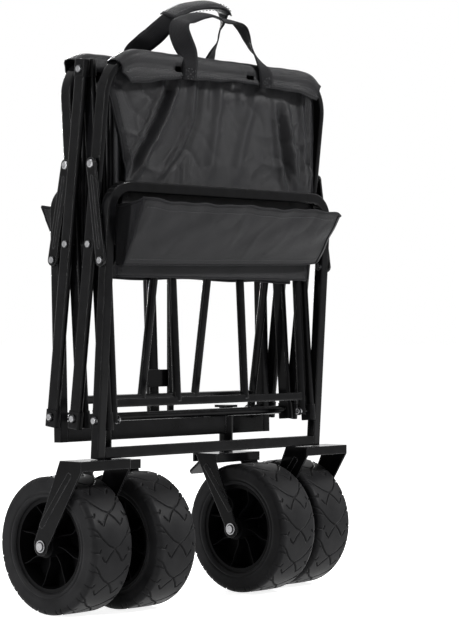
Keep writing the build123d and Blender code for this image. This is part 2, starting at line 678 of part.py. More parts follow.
for side, label in ((-1, "left"), (1, "right")):
    place = Location((side * CASTER_X, caster_y, 0))
    hub = Location((side * CASTER_X, axle_y, TYRE_R))
    add(f"caster_fork_{label}", place * caster_fork)
    add(f"caster_hardware_{label}", hub * axle_body, place * pedal_pin, place * kingpin)
    add(f"brake_pedal_{label}", place * pedal)
    add(f"front_tyre_{label}", hub * tyre_body)
    add(f"front_rim_{label}", hub * rim_body)

# ---------------------------------------------------------------- pull handle
def post(radius, length):
    """A round bar standing up from z = 0."""
    return Cylinder(radius, length, align=(Align.CENTER, Align.CENTER, Align.MIN))


outer = post(HANDLE_R, HANDLE_LEN) - Location((0, 0, HANDLE_PLUG)) * post(HANDLE_R - HANDLE_WALL, HANDLE_LEN)
outer = lean_handle * Location((0, HANDLE_Y, HANDLE_FOOT_Z - HANDLE_TAIL)) * outer
outer -= pin_hole(HANDLE_Y, HANDLE_FOOT_Z)
collar_z = HANDLE_FOOT_Z - HANDLE_TAIL + HANDLE_LEN
collar = post(HANDLE_R + COLLAR_WALL, COLLAR_H) - post(HANDLE_R, COLLAR_H - COLLAR_LIP)
collar -= post(INNER_TUBE_R + TUBE_GAP, COLLAR_H + 1)
collar = lean_handle * Location((0, HANDLE_Y, collar_z - COLLAR_H + COLLAR_LIP)) * collar
add("handle_outer_tube", outer, collar)
inner_low = HANDLE_FOOT_Z + INNER_TUBE_LIFT
grip_z = collar_z + INNER_TUBE_UP
inner_len = grip_z - inner_low
inner = post(INNER_TUBE_R, inner_len)
inner -= Location((0, 0, -1)) * post(INNER_TUBE_R - HANDLE_WALL, inner_len - INNER_TUBE_PLUG)
add("handle_inner_tube", lean_handle * Location((0, HANDLE_Y, inner_low)) * inner)
grip_top = GRIP_HALF - GRIP_SLANT
grip_path = FilletPolyline((-grip_top, 0, GRIP_H), (-GRIP_HALF, 0, GRIP_WIDE_Z), (-GRIP_NECK, 0, -GRIP_DIP),
                           (GRIP_NECK, 0, -GRIP_DIP), (GRIP_HALF, 0, GRIP_WIDE_Z), (grip_top, 0, GRIP_H),
                           close=True, radius=GRIP_BEND)
loop = sweep(Plane(grip_path @ 0, z_dir=grip_path % 0) * Circle(GRIP_BAR_R), grip_path)
grip = loop + Location((0, 0, -GRIP_SOCKET)) * post(GRIP_R, GRIP_SOCKET)
grip -= Location((0, 0, -2 * GRIP_SOCKET)) * post(INNER_TUBE_R, 2 * GRIP_SOCKET)
button_z = -GRIP_SOCKET / 2
grip -= Location((0, GRIP_R, button_z), (90, 0, 0)) * Cylinder(BUTTON_R + BUTTON_GAP, 2 * BUTTON_DEPTH)
grip_place = lean_handle * Location((0, HANDLE_Y, grip_z))
add("handle_grip", grip_place * grip)
button = fillet(post(BUTTON_R, BUTTON_T).edges().sort_by(Axis.Z)[-1:], BUTTON_T / 4)
button_seat = GRIP_R + BUTTON_PROUD - BUTTON_T
add("handle_button", grip_place * (Location((0, button_seat, button_z), (-90, 0, 0)) * button))

# ---------------------------------------------------------------- cloth


def sleeve(start, angle, rise):
    """A cloth sleeve round a rim bar, clear of the bar all round."""
    reach = SLEEVE_GAP + SLEEVE_WALL
    outer_shape = RectangleRounded(BAR_T + 2 * reach, BAR_W + 2 * reach, 5.5)
    inner_shape = RectangleRounded(BAR_T + 2 * SLEEVE_GAP, BAR_W + 2 * SLEEVE_GAP, 4.0)
    body = extrude(outer_shape - inner_shape, 2 * SLEEVE_HALF)
    body = Location((-SLEEVE_HALF, 0, rise), (0, 90, 0)) * body
    return at(0, *start, angle) * body


add("rear_rim_sleeve", sleeve(pivot_rear, OUTER_ANGLE, RISER))
add("front_rim_sleeve", sleeve(pivot_front, -INNER_ANGLE, RISER))


def under_sleeve(top, angle, y):
    """Height of a leaning sleeve's underside above the plane Y = y."""
    low = BAR_T / 2 + SLEEVE_GAP + SLEEVE_WALL
    lean = radians(angle)
    return top[1] - low * cos(lean) + (y - top[0] - low * sin(lean)) * tan(lean)


rear_wall_top = under_sleeve(riser_rear_top, OUTER_ANGLE, REAR_WALL_Y) - CLOTH_GAP
front_wall_top = under_sleeve(riser_front_top, -INNER_ANGLE, FRONT_WALL_Y) - CLOTH_GAP


def panel(y, low, high, half):
    sheet = Location((0, y, (low + high) / 2)) * Box(2 * half, CLOTH, high - low)
    return fillet(sheet.edges().filter_by(Axis.Y).sort_by(Axis.Z)[-2:], RIM_CORNER)


rear_wall_mid = REAR_WALL_Y + CLOTH / 2
add("rear_end_wall", panel(rear_wall_mid, REAR_WALL_LOW, rear_wall_top, WALL_HALF))
front_wall_mid = FRONT_WALL_Y - CLOTH / 2
add("front_end_wall", panel(front_wall_mid, FRONT_WALL_LOW, front_wall_top, WALL_HALF - CLOTH))


def pocket(y, way, x0, x1):
    """An open-topped wedge pocket of cloth on an end wall; way is -1 to the rear, +1 to the front."""
    tip = y + way * POCKET_DEPTH
    foot = y + way * POCKET_FOOT
    shape = Polyline((y, POCKET_LOW_Z), (foot, POCKET_LOW_Z), (tip, POCKET_RIM_Z),
                     (tip - way * POCKET_T, POCKET_RIM_Z), (foot - way, POCKET_LOW_Z + POCKET_T),
                     (y, POCKET_LOW_Z + POCKET_T), close=True)
    trough = extrude(Plane.YZ * make_face(shape), x1 - x0)
    end_shape = Polyline((y, POCKET_LOW_Z), (foot, POCKET_LOW_Z), (tip, POCKET_RIM_Z),
                         (y, POCKET_RIM_Z - POCKET_DIP), close=True)
    end = extrude(Plane.YZ * make_face(end_shape), CLOTH)
    body = trough + end + Location((x1 - x0 - CLOTH, 0, 0)) * end
    return Location((x0, 0, 0)) * body


add("rear_pocket", pocket(REAR_WALL_Y, -1, -POCKET_HALF, POCKET_HALF))
add("front_pockets", pocket(FRONT_WALL_Y, 1, -FRONT_POCKET_HALF, -FRONT_POCKET_GAP),
    pocket(FRONT_WALL_Y, 1, FRONT_POCKET_GAP, FRONT_POCKET_HALF))

side_y0 = REAR_WALL_Y + CLOTH + CLOTH_GAP
side_y1 = FRONT_WALL_Y - CLOTH - CLOTH_GAP
side_block = Box(SIDE_T, side_y1 - side_y0, SIDE_TOP - SIDE_LOW)
side_mid = ((side_y0 + side_y1) / 2, (SIDE_LOW + SIDE_TOP) / 2)
add("side_cloths", *[Location((s * SIDE_X, *side_mid)) * side_block for s in sides])


def floor_cloth(start, angle, way):
    """The half of the tub's floor cloth that lies against one floor half."""
    sheet = Box(2 * FLOOR_CLOTH_HALF, FLOOR_CLOTH_T, FLOOR_LEN - FLOOR_CLOTH_LOW)
    lift = ROD_R + CLOTH_GAP + FLOOR_CLOTH_T / 2
    sheet = Location((0, way * lift, (FLOOR_LEN + FLOOR_CLOTH_LOW) / 2)) * sheet
    return at(0, *start, angle) * sheet


add("rear_floor_cloth", floor_cloth(foot_rear, -REAR_FLOOR_ANGLE, -1))
add("front_floor_cloth", floor_cloth(foot_front, FRONT_FLOOR_ANGLE, 1))


def strap_section(point, way, turn):
    """The webbing's cross-section: flat against the wall at turn 0, flat side up at turn 90."""
    plane = Plane(point, x_dir=(0, 1, 0), z_dir=way)
    return plane * (Rot(0, 0, turn) * Rectangle(STRAP_T, STRAP_W))


def carry_strap(low, high, top_y, foot_x, top_x, crown_z):
    """A webbing loop: up a sleeve's outer face, then leaning in with a quarter twist to a level top."""
    middle = (top_x[0] + top_x[1]) / 2
    arms = []
    for foot, top, way in ((foot_x[0], top_x[0], 1), (foot_x[1], top_x[1], -1)):
        turn = 90 * way
        knee = ((foot * 3 + top) / 4, (high[0] * 3 + top_y) / 4, high[1] + STRAP_KNEE)
        shoulder = (top + way * STRAP_BEND * 0.4, top_y, crown_z - STRAP_BEND * 0.4)
        arms.append(loft([strap_section((foot, *low), (0, 0, 1), 0),
                          strap_section((foot, *high), (0, 0, 1), 0),
                          strap_section(knee, (0, 0, 1), turn / 3),
                          strap_section((top, top_y, crown_z - STRAP_BEND), (0, 0, 1), turn),
                          strap_section(shoulder, (way, 0, 1), turn),
                          strap_section((top + way * STRAP_BEND, top_y, crown_z), (way, 0, 0), turn),
                          strap_section((middle, top_y, crown_z), (way, 0, 0), turn)], ruled=True))
    return arms[0] + arms[1]


def beside(top, angle, out, up):
    """The (y, z) point out from a leaning rim bar's middle and up along its lean."""
    lean = radians(angle)
    return (top[0] + out * cos(lean) - up * sin(lean), top[1] + out * sin(lean) + up * cos(lean))


strap_out = BAR_W / 2 + SLEEVE_GAP + SLEEVE_WALL + CLOTH_GAP + STRAP_T / 2
rear_low = beside(riser_rear_top, OUTER_ANGLE, -strap_out, -STRAP_TAB)
rear_high = beside(riser_rear_top, OUTER_ANGLE, -strap_out, STRAP_RISE)
front_low = beside(riser_front_top, -INNER_ANGLE, strap_out, -STRAP_TAB)
front_high = beside(riser_front_top, -INNER_ANGLE, strap_out, STRAP_RISE)
add("rear_carry_strap", carry_strap(rear_low, rear_high, REAR_CROWN_Y, STRAP_FEET_X, REAR_CROWN_X,
                                     REAR_CROWN_Z))
add("front_carry_strap", carry_strap(front_low, front_high, FRONT_CROWN_Y, STRAP_FEET_X,
                                      FRONT_CROWN_X, FRONT_CROWN_Z))
hollow_w = STRAP_W + 2 * WRAP_GAP
hollow_t = STRAP_T + 2 * WRAP_GAP
wrap = Box(WRAP_LEN, hollow_w + 2 * WRAP_T, hollow_t + 2 * WRAP_T) - Box(WRAP_LEN + 1, hollow_w, hollow_t)
add("strap_grip_wrap", Location((WRAP_X, FRONT_CROWN_Y, FRONT_CROWN_Z)) * wrap)

# ---------------------------------------------------------------- export
os.makedirs("parts", exist_ok=True)
shift = Location((0, -middle_y, 0))
for name, shape in parts.items():
    moved = shift * shape
    moved.label = name
    export_step(moved, f"parts/{name}.step")
print(len(parts), "nodes; middle at", round(middle_y, 3))
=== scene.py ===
# %% [markdown]
# A folding wagon stands folded on its four wide wheels. Its metal frame, bars and
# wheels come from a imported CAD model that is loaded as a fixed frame. This script
# gives that frame its finishes and builds what CAD only holds a place for: treaded
# tyres, the cloth tub with its pockets, the webbing straps and the stitching.

# %% Load the frame
import json
import math

import bpy
import numpy as np
from mathutils import Matrix, Vector


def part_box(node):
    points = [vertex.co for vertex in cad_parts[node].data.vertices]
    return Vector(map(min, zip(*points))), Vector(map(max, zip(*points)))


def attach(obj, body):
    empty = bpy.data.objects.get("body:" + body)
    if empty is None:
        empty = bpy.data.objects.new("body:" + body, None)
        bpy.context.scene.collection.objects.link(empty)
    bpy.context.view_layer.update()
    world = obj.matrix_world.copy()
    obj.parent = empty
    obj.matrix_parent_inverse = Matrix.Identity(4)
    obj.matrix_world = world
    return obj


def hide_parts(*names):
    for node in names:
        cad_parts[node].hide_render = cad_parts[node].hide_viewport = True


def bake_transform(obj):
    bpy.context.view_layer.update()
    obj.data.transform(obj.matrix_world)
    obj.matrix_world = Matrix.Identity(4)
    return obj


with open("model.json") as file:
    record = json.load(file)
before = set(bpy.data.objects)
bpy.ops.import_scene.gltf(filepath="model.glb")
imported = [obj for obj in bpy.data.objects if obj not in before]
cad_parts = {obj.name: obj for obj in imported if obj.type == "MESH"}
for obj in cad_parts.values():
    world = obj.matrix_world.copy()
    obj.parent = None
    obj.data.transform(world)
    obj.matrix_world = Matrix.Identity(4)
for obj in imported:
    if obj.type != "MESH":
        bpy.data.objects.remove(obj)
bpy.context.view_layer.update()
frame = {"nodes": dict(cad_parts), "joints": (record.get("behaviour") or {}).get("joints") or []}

joints = {j["name"]: j for j in frame["joints"]}

# %% [markdown]
# The wagon's own lengths are written in millimetres, because its parts were designed
# so. The helper `spot` turns them into Blender's metres. Its zero along Y is the foot
# of the rear posts, 2 mm in front of the fold joint. Lamps and floor are in metres.

# %% Millimetre helper
fold_y = joints["fold"]["pos_m"][1] * 1000
Y_SHIFT = fold_y + 2.0


def spot(points):
    """Millimetres, measured from the foot of the rear posts, to metres in the frame."""
    p = np.asarray(points, dtype=float).copy()
    p[..., 1] += Y_SHIFT
    return p / 1000.0


print("rear posts stand at y =", round(Y_SHIFT, 2), "mm")

# %% [markdown]
# A mesh, a lamp or a camera shows only once an object of the scene holds it. Blender's
# add operators would make that object too, but they depend on what is selected.
# `in_scene` makes it and links it, whatever is selected.

# %% Scene helper
scene = bpy.context.scene


def in_scene(name, data):
    """A new object in the scene that holds a mesh, a lamp or a camera."""
    new = bpy.data.objects.new(name, data)
    scene.collection.objects.link(new)
    return new


print("scene", scene.name)

# %% [markdown]
# The camera stands far back with a long lens, level, at the height of the wagon's
# middle, and looks at its rear left corner. A wide lens close by would also show the
# whole wagon, but its bars would spread apart. A long lens keeps them nearly parallel.
# A tilted camera would make the posts lean in, so a small vertical shift frames the
# straps and the wheels instead.

# %% Camera
CAMERA_TURN = math.radians(47.61)
CAMERA_PLACE = (-2434.25, -2260.15, 426.85)
LENS = 123.716
SHIFT_UP = 0.01233
camera_data = bpy.data.cameras.new("camera")
camera_data.lens = LENS
camera_data.sensor_width = 36.0
camera_data.shift_y = SHIFT_UP
camera = in_scene("camera", camera_data)
camera.location = spot(CAMERA_PLACE)
camera.rotation_euler = (math.radians(90), 0, -CAMERA_TURN)
scene.camera = camera
print("camera at", [round(v, 3) for v in camera.location])

# %% [markdown]
# Black paint and black cloth show their shape only by what they reflect. One big lamp
# would light them evenly and leave them flat. So the key light is a small softbox high
# on the right, which shapes the folds, with a wide weak one above. Two tall narrow
# strips, at the left and behind, draw thin bright lines on the edges of the bars.

# %% Lamps


def area_light(name, place, aim, size, power):
    data = bpy.data.lights.new(name, "AREA")
    data.shape = "RECTANGLE"
    data.size, data.size_y = size
    data.energy = power
    lamp = in_scene(name, data)
    lamp.location = place
    direction = Vector(aim) - Vector(place)
    lamp.rotation_euler = direction.to_track_quat("-Z", "Y").to_euler()


area_light("key_softbox", (1.6, -2.2, 2.2), (0, 0, 0.45), (0.5, 0.5), 100)
area_light("left_strip", (-2.6, 0.5, 1.2), (0, 0, 0.5), (0.1, 2.2), 44)
area_light("top_softbox", (-0.3, 0.2, 2.8), (0, 0, 0.3), (0.9, 0.9), 32)
area_light("back_strip", (1.4, 2.2, 1.4), (0, 0, 0.5), (0.12, 1.8), 40)
scene.view_settings.view_transform = "Standard"

# %% [markdown]
# Shaders are trees of nodes. They could be wired one link at a time, but that takes
# three lines for each node. `add_node` makes a node with its settings and its inputs
# in one call.

# %% Node helper


def add_node(tree, kind, links=(), **settings):
    """A node in a tree; links are (input name or number, socket or value) pairs."""
    node = tree.nodes.new(kind)
    for key, value in settings.items():
        setattr(node, key, value)
    for where, socket in links:
        if isinstance(socket, (int, float, tuple)):
            node.inputs[where].default_value = socket
        else:
            tree.links.new(socket, node.inputs[where])
    return node


print("node helper ready")

# %% [markdown]
# The wagon stands in white surroundings. A bright world would give that white, but its
# light would also wash out the black finishes. Light Path tells rays apart: the camera
# and the shiny surfaces see pure white, and everything else gets only a weak fill.

# %% White surroundings
WHITE_RAYS = ("Is Camera Ray", "Is Glossy Ray", "Is Transmission Ray")
FILL_LEVEL = 0.16
WHITE = (1, 1, 1, 1)


def white_rays(tree):
    """1 where a light path is one of WHITE_RAYS, else 0."""
    rays = add_node(tree, "ShaderNodeLightPath").outputs
    last = rays[WHITE_RAYS[0]]
    for kind in WHITE_RAYS[1:]:
        last = add_node(tree, "ShaderNodeMath", [(0, last), (1, rays[kind])], operation="MAXIMUM").outputs[0]
    return last


world = bpy.data.worlds.new("studio")
scene.world = world
world.use_nodes = True
world_tree = world.node_tree
world_tree.nodes.clear()
fill, white = (add_node(world_tree, "ShaderNodeBackground", [("Color", WHITE), ("Strength", strength)])
               for strength in (FILL_LEVEL, 1.0))
choose = add_node(world_tree, "ShaderNodeMixShader", [(0, white_rays(world_tree)), (1, fill.outputs[0]),
                                                      (2, white.outputs[0])])
add_node(world_tree, "ShaderNodeOutputWorld", [("Surface", choose.outputs[0])])
print("world", world.name)

# %% [markdown]
# The floor is a plain pale sheet that runs on to the horizon. Diffuse paint alone would
# turn grey far from the lamps. A glow that only those same rays see lifts it to white,
# and the paint below still keeps the shadow under the wheels.

# %% Floor
HALF_FLOOR = 30.0
FLOOR_GREY = 0.86
FLOOR_GLOW = 0.87
floor_mesh = bpy.data.meshes.new("floor")
floor_mesh.from_pydata([(-HALF_FLOOR, -HALF_FLOOR, 0), (HALF_FLOOR, -HALF_FLOOR, 0),
                        (HALF_FLOOR, HALF_FLOOR, 0), (-HALF_FLOOR, HALF_FLOOR, 0)], [], [(0, 1, 2, 3)])
floor = in_scene("floor", floor_mesh)
floor_finish = bpy.data.materials.new("studio floor")
floor_finish.use_nodes = True
floor_tree = floor_finish.node_tree
floor_tree.nodes.clear()
paint = add_node(floor_tree, "ShaderNodeBsdfDiffuse", [("Color", (FLOOR_GREY, FLOOR_GREY, FLOOR_GREY, 1))])
level = add_node(floor_tree, "ShaderNodeMath", [(0, white_rays(floor_tree)), (1, FLOOR_GLOW)],
                 operation="MULTIPLY")
glow = add_node(floor_tree, "ShaderNodeEmission", [("Color", WHITE), ("Strength", level.outputs[0])])
both = add_node(floor_tree, "ShaderNodeAddShader", [(0, paint.outputs[0]), (1, glow.outputs[0])])
add_node(floor_tree, "ShaderNodeOutputMaterial", [("Surface", both.outputs[0])])
floor_mesh.materials.append(floor_finish)
print("floor", 2 * HALF_FLOOR, "m wide")

# %% [markdown]
# Several finishes share the same effects: a fine moulded or powder grain, a painted
# highlight along edges, dust that settles on upward faces, and the weave of cloth. Each
# material could hold its own copy of the nodes, but then a correction would have to be
# made many times. So each effect is one shader node group with named inputs, and every
# material uses it at its own scale.

# %% Shader group helper


def new_group(name, inputs, outputs):
    group = bpy.data.node_groups.new(name, "ShaderNodeTree")
    for label, default in inputs:
        socket = group.interface.new_socket(label, in_out="INPUT", socket_type="NodeSocketFloat")
        socket.default_value = default
    for label, kind in outputs:
        group.interface.new_socket(label, in_out="OUTPUT", socket_type=kind)
    return group, group.nodes.new("NodeGroupInput"), group.nodes.new("NodeGroupOutput")


print("group helper ready")

# %% [markdown]
# Moulded plastic and powder coat have a fine even grain, and their shade drifts a
# little over a hand's width. One noise can't give both. So a fine noise makes the
# height of the grain, and a broad one makes the mottle.

# %% Group: fine grain
grain, ins, outs = new_group("Fine grain", [("Grain size", 900.0), ("Mottle size", 40.0)],
                             [("Height", "NodeSocketFloat"), ("Mottle", "NodeSocketFloat")])
where = add_node(grain, "ShaderNodeTexCoord")
speck = add_node(grain, "ShaderNodeTexNoise", [("Vector", where.outputs["Object"]),
                                               ("Scale", ins.outputs[0]), ("Detail", 2.0)])
cloud = add_node(grain, "ShaderNodeTexNoise", [("Vector", where.outputs["Object"]),
                                               ("Scale", ins.outputs[1]), ("Detail", 5.0),
                                               ("Roughness", 0.6)])
grain.links.new(speck.outputs["Fac"], outs.inputs[0])
grain.links.new(cloud.outputs["Fac"], outs.inputs[1])
print("group", grain.name)

# %% [markdown]
# Rounded edges of black tubes and mouldings catch thin bright lines of light. This group
# puts them into the colour as a painted edge highlight. A mask drawn in a texture would need
# every edge to be found by hand. The Bevel node gives a rounded normal, and where that
# differs from the true one there is an edge. A noise breaks the painted highlight into patches.

# %% Group: painted edge highlight
edge_highlight, ins, outs = new_group("Painted edge highlight", [("Width", 0.0016), ("Spread", 2.4)], [("Mask", "NodeSocketFloat")])
round_off = add_node(edge_highlight, "ShaderNodeBevel", [("Radius", ins.outputs[0])], samples=4)
flat = add_node(edge_highlight, "ShaderNodeNewGeometry")
turn = add_node(edge_highlight, "ShaderNodeVectorMath", [(0, round_off.outputs[0]), (1, flat.outputs["Normal"])],
                operation="DOT_PRODUCT")
edge = add_node(edge_highlight, "ShaderNodeMath", [(0, 1.0), (1, turn.outputs["Value"])], operation="SUBTRACT")
where = add_node(edge_highlight, "ShaderNodeTexCoord")
patchy = add_node(edge_highlight, "ShaderNodeTexNoise", [("Vector", where.outputs["Object"]), ("Scale", 120.0),
                                               ("Detail", 4.0)])
strong = add_node(edge_highlight, "ShaderNodeMath", [(0, edge.outputs[0]), (1, ins.outputs[1])], operation="MULTIPLY")
mask = add_node(edge_highlight, "ShaderNodeMath", [(0, strong.outputs[0]), (1, patchy.outputs["Fac"])],
                operation="MULTIPLY", use_clamp=True)
edge_highlight.links.new(mask.outputs[0], outs.inputs[0])
print("group", edge_highlight.name)

# %% [markdown]
# Dust lies on faces that look up. It could be a second material on those faces, but
# then its border would be sharp. The upward part of the normal gives a smooth share of
# dust instead, and a noise makes it uneven.

# %% Group: settled dust
dust, ins, outs = new_group("Settled dust", [("Amount", 0.3), ("Patch size", 25.0)],
                            [("Mask", "NodeSocketFloat")])
flat = add_node(dust, "ShaderNodeNewGeometry")
split = add_node(dust, "ShaderNodeSeparateXYZ", [(0, flat.outputs["Normal"])])
facing = add_node(dust, "ShaderNodeMapRange", [("Value", split.outputs["Z"]), ("From Min", 0.15),
                                               ("From Max", 1.0), ("To Min", 0.12), ("To Max", 1.0)])
where = add_node(dust, "ShaderNodeTexCoord")
patch = add_node(dust, "ShaderNodeTexNoise", [("Vector", where.outputs["Object"]), ("Scale", ins.outputs[1]),
                                              ("Detail", 6.0), ("Roughness", 0.7)])
share = add_node(dust, "ShaderNodeMath", [(0, facing.outputs[0]), (1, patch.outputs["Fac"])],
                 operation="MULTIPLY")
mask = add_node(dust, "ShaderNodeMath", [(0, share.outputs[0]), (1, ins.outputs[0])], operation="MULTIPLY",
                use_clamp=True)
dust.links.new(mask.outputs[0], outs.inputs[0])
print("group", dust.name)

# %% [markdown]
# Tub cloth and webbing are plain woven. A picture of cloth would blur close up and
# repeat. Two crossed waves on the UV map, which is in metres, make the threads, and a
# noise along them makes some threads lighter.

# %% Group: weave
weave, ins, outs = new_group("Weave", [("Threads", 1500.0), ("Slub", 60.0)],
                             [("Height", "NodeSocketFloat"), ("Tone", "NodeSocketFloat")])
where = add_node(weave, "ShaderNodeTexCoord")
warp, weft = (add_node(weave, "ShaderNodeTexWave", [("Vector", where.outputs["UV"]),
                                                    ("Scale", ins.outputs[0])],
                       wave_type="BANDS", bands_direction=way, wave_profile="SIN") for way in "XY")
over = add_node(weave, "ShaderNodeMath", [(0, warp.outputs["Fac"]), (1, weft.outputs["Fac"])],
                operation="MULTIPLY")
uneven = add_node(weave, "ShaderNodeTexNoise", [("Vector", where.outputs["UV"]), ("Scale", ins.outputs[1]),
                                                ("Detail", 6.0), ("Roughness", 0.65)])
tone = add_node(weave, "ShaderNodeMath", [(0, over.outputs[0]), (1, uneven.outputs["Fac"])], operation="ADD")
weave.links.new(over.outputs[0], outs.inputs[0])
weave.links.new(tone.outputs[0], outs.inputs[1])
print("group", weave.name)

# %% [markdown]
# A finish is one Principled shader with its groups. `finish` takes the two colours
# that a surface varies between, its roughness range and the strength of the bump.
# Sheen and the specular level are plain values on the shader itself. Tubes and plates
# have softly rounded edges that the mesh leaves sharp. Bevelling every mesh would
# change it, so `rounded` bends the shading normal instead, by that radius in metres.

# %% Finish helper


def place(tree, group, **values):
    node = tree.nodes.new("ShaderNodeGroup")
    node.node_tree = group
    for label, value in values.items():
        node.inputs[label.replace("_", " ")].default_value = value
    return node


def mixed(tree, share, below, above):
    """The colour below where share is 0, and the colour above where it is 1."""
    return add_node(tree, "ShaderNodeMix", [("Factor", share), ("A", below), ("B", (*above, 1))],
                    data_type="RGBA").outputs["Result"]


DUST_COLOUR = (0.23, 0.22, 0.21)
SHEEN_ROUGHNESS = 0.4


def finish(name, dark, light, rough, metallic=0.0, grain_size=900.0, mottle=40.0, bump=0.15, depth=0.0003,
           edge_light=0.0, edge_light_colour=(0.3, 0.3, 0.31), dusty=0.0, threads=0.0, sheen=0.0, specular=0.5,
           rounded=0.0):
    material = bpy.data.materials.new(name)
    material.use_nodes = True
    tree = material.node_tree
    shader = tree.nodes["Principled BSDF"]
    shader.inputs["Metallic"].default_value = metallic
    shader.inputs["Sheen Weight"].default_value = sheen
    shader.inputs["Sheen Roughness"].default_value = SHEEN_ROUGHNESS
    shader.inputs["Specular IOR Level"].default_value = specular
    if threads:
        texture = place(tree, weave, Threads=threads, Slub=mottle)
    else:
        texture = place(tree, grain, Grain_size=grain_size, Mottle_size=mottle)
    tone = add_node(tree, "ShaderNodeMapRange", [("Value", texture.outputs[1]), ("From Min", 0.3),
                                                 ("From Max", 1.2 if threads else 0.7)])
    result = mixed(tree, tone.outputs[0], (*dark, 1), light)
    # Painted edge highlight: a lighter colour mixed in along edges.
    if edge_light:
        result = mixed(tree, place(tree, edge_highlight, Spread=edge_light).outputs[0], result, edge_light_colour)
    if dusty:
        result = mixed(tree, place(tree, dust, Amount=dusty).outputs[0], result, DUST_COLOUR)
    tree.links.new(result, shader.inputs["Base Color"])
    shine = add_node(tree, "ShaderNodeMapRange", [("Value", texture.outputs[1]), ("From Min", 0.3),
                                                  ("From Max", 0.8), ("To Min", rough[0]),
                                                  ("To Max", rough[1])])
    tree.links.new(shine.outputs[0], shader.inputs["Roughness"])
    relief = add_node(tree, "ShaderNodeBump", [("Height", texture.outputs[0]), ("Strength", bump),
                                               ("Distance", depth)])
    if rounded:
        soft_edge = add_node(tree, "ShaderNodeBevel", [("Radius", rounded)], samples=6)
        tree.links.new(soft_edge.outputs[0], relief.inputs["Normal"])
    tree.links.new(relief.outputs[0], shader.inputs["Normal"])
    return material


# %% [markdown]
# The finishes. Frame tubes and bars are steel with a black powder coat whose edges
# catch the light, and a painted highlight lightens those edges, as it does on the wheel
# centres and tyres. Rivets and axle bolts are bare plated steel. Caps, pedals, wheel
# centres and the grip are moulded black plastic. Tyres are greyer and duller. The
# cloth is coated polyester, and the straps are a coarser webbing. One black for them
# all would be simpler, but they differ in roughness and weave more than in colour, so
# each gets its own. The specular levels are low, because black things in white
# surroundings turn grey with more.

# %% Finishes
FRAME_PAINT = finish("frame powder coat", (0.0025, 0.0025, 0.0028), (0.006, 0.006, 0.0066), (0.12, 0.2),
                     bump=0.1, edge_light=1.2, dusty=0.015, specular=0.07, rounded=0.003)
BAR_PAINT = finish("bar powder coat", (0.003, 0.003, 0.0033), (0.007, 0.007, 0.0077), (0.1, 0.18),
                   bump=0.08, edge_light=1.3, dusty=0.01, specular=0.08, rounded=0.0035)
FORK_PAINT = finish("fork enamel", (0.0022, 0.0022, 0.0025), (0.005, 0.005, 0.0055), (0.1, 0.18),
                    bump=0.08, edge_light=1.3, dusty=0.01, specular=0.06, rounded=0.0025)
TUBE_PAINT = finish("handle tube enamel", (0.0025, 0.0025, 0.0028), (0.005, 0.005, 0.0055), (0.12, 0.2),
                    bump=0.05, specular=0.09)
CAP_PLASTIC = finish("cap plastic", (0.003, 0.003, 0.0033), (0.008, 0.008, 0.0088), (0.3, 0.42),
                     grain_size=700.0, bump=0.2, dusty=0.015, specular=0.06, rounded=0.003)
CENTRE_PLASTIC = finish("wheel centre plastic", (0.0015, 0.0015, 0.0017), (0.004, 0.004, 0.0044), (0.4, 0.55),
                        grain_size=600.0, bump=0.2, edge_light=1.0, edge_light_colour=(0.06, 0.06, 0.062), specular=0.05)
GRIP_PLASTIC = finish("grip plastic", (0.008, 0.008, 0.009), (0.014, 0.014, 0.015), (0.45, 0.6),
                      grain_size=500.0, bump=0.5, dusty=0.04, specular=0.15)
PLATED_STEEL = finish("plated rivets", (0.2, 0.2, 0.206), (0.36, 0.36, 0.37), (0.2, 0.38), metallic=1.0,
                      grain_size=500.0, mottle=160.0, bump=0.08)
TYRE_RUBBER = finish("tyre rubber", (0.009, 0.009, 0.0097), (0.018, 0.018, 0.019), (0.34, 0.5),
                     grain_size=1100.0, mottle=28.0, bump=0.3, edge_light=1.5, edge_light_colour=(0.11, 0.11, 0.112),
                     dusty=0.03, specular=0.05)
TUB_CLOTH = finish("tub polyester", (0.007, 0.007, 0.0077), (0.019, 0.019, 0.021), (0.24, 0.36), mottle=9.0,
                   threads=420.0, bump=0.4, depth=0.0004, dusty=0.01, sheen=0.01, specular=0.1)
HEM_TAPE = finish("hem tape", (0.005, 0.005, 0.006), (0.014, 0.014, 0.0155), (0.45, 0.6), mottle=30.0,
                  threads=300.0, bump=0.6, depth=0.0004, sheen=0.03, specular=0.08)
WEBBING = finish("strap webbing", (0.0045, 0.0045, 0.005), (0.013, 0.013, 0.0145), (0.5, 0.65), mottle=20.0,
                 threads=160.0, bump=0.8, depth=0.0006, sheen=0.03, specular=0.05)
THREAD = finish("stitch thread", (0.03, 0.03, 0.032), (0.06, 0.06, 0.064), (0.5, 0.65), grain_size=1500.0,
                specular=0.3)
# Darker steel for rivet and bolt skirts: painted shade.
SKIRT_SHADE_STEEL = finish("rivet skirt", (0.01, 0.01, 0.011), (0.04, 0.04, 0.042), (0.3, 0.45), metallic=1.0,
                    grain_size=500.0, mottle=160.0, bump=0.08)
print("materials", len(bpy.data.materials))

# %% [markdown]
# Each CAD piece is one part of the real wagon, so its name tells what it is made of.
# Finishes could be set piece by piece. A short list of words in names does it for all,
# and what it doesn't mention is painted frame.

# %% Give the CAD pieces their finishes
NODE_FINISH = [
    (("_pins", "handle_fixings", "rear_axles", "caster_hardware"), PLATED_STEEL),
    (("_caps", "brake_pedal"), CAP_PLASTIC),
    (("rear_lift_bars", "front_lift_bars", "rear_rim_frame", "front_rim_frame", "_links"), BAR_PAINT),
    (("fork_", "caster_sockets"), FORK_PAINT),
    (("handle_outer", "handle_inner", "front_centre_strut"), TUBE_PAINT),
    (("handle_grip", "handle_button"), GRIP_PLASTIC),
    (("rear_rim_left", "rear_rim_right", "front_rim_left", "front_rim_right"), CENTRE_PLASTIC),
]


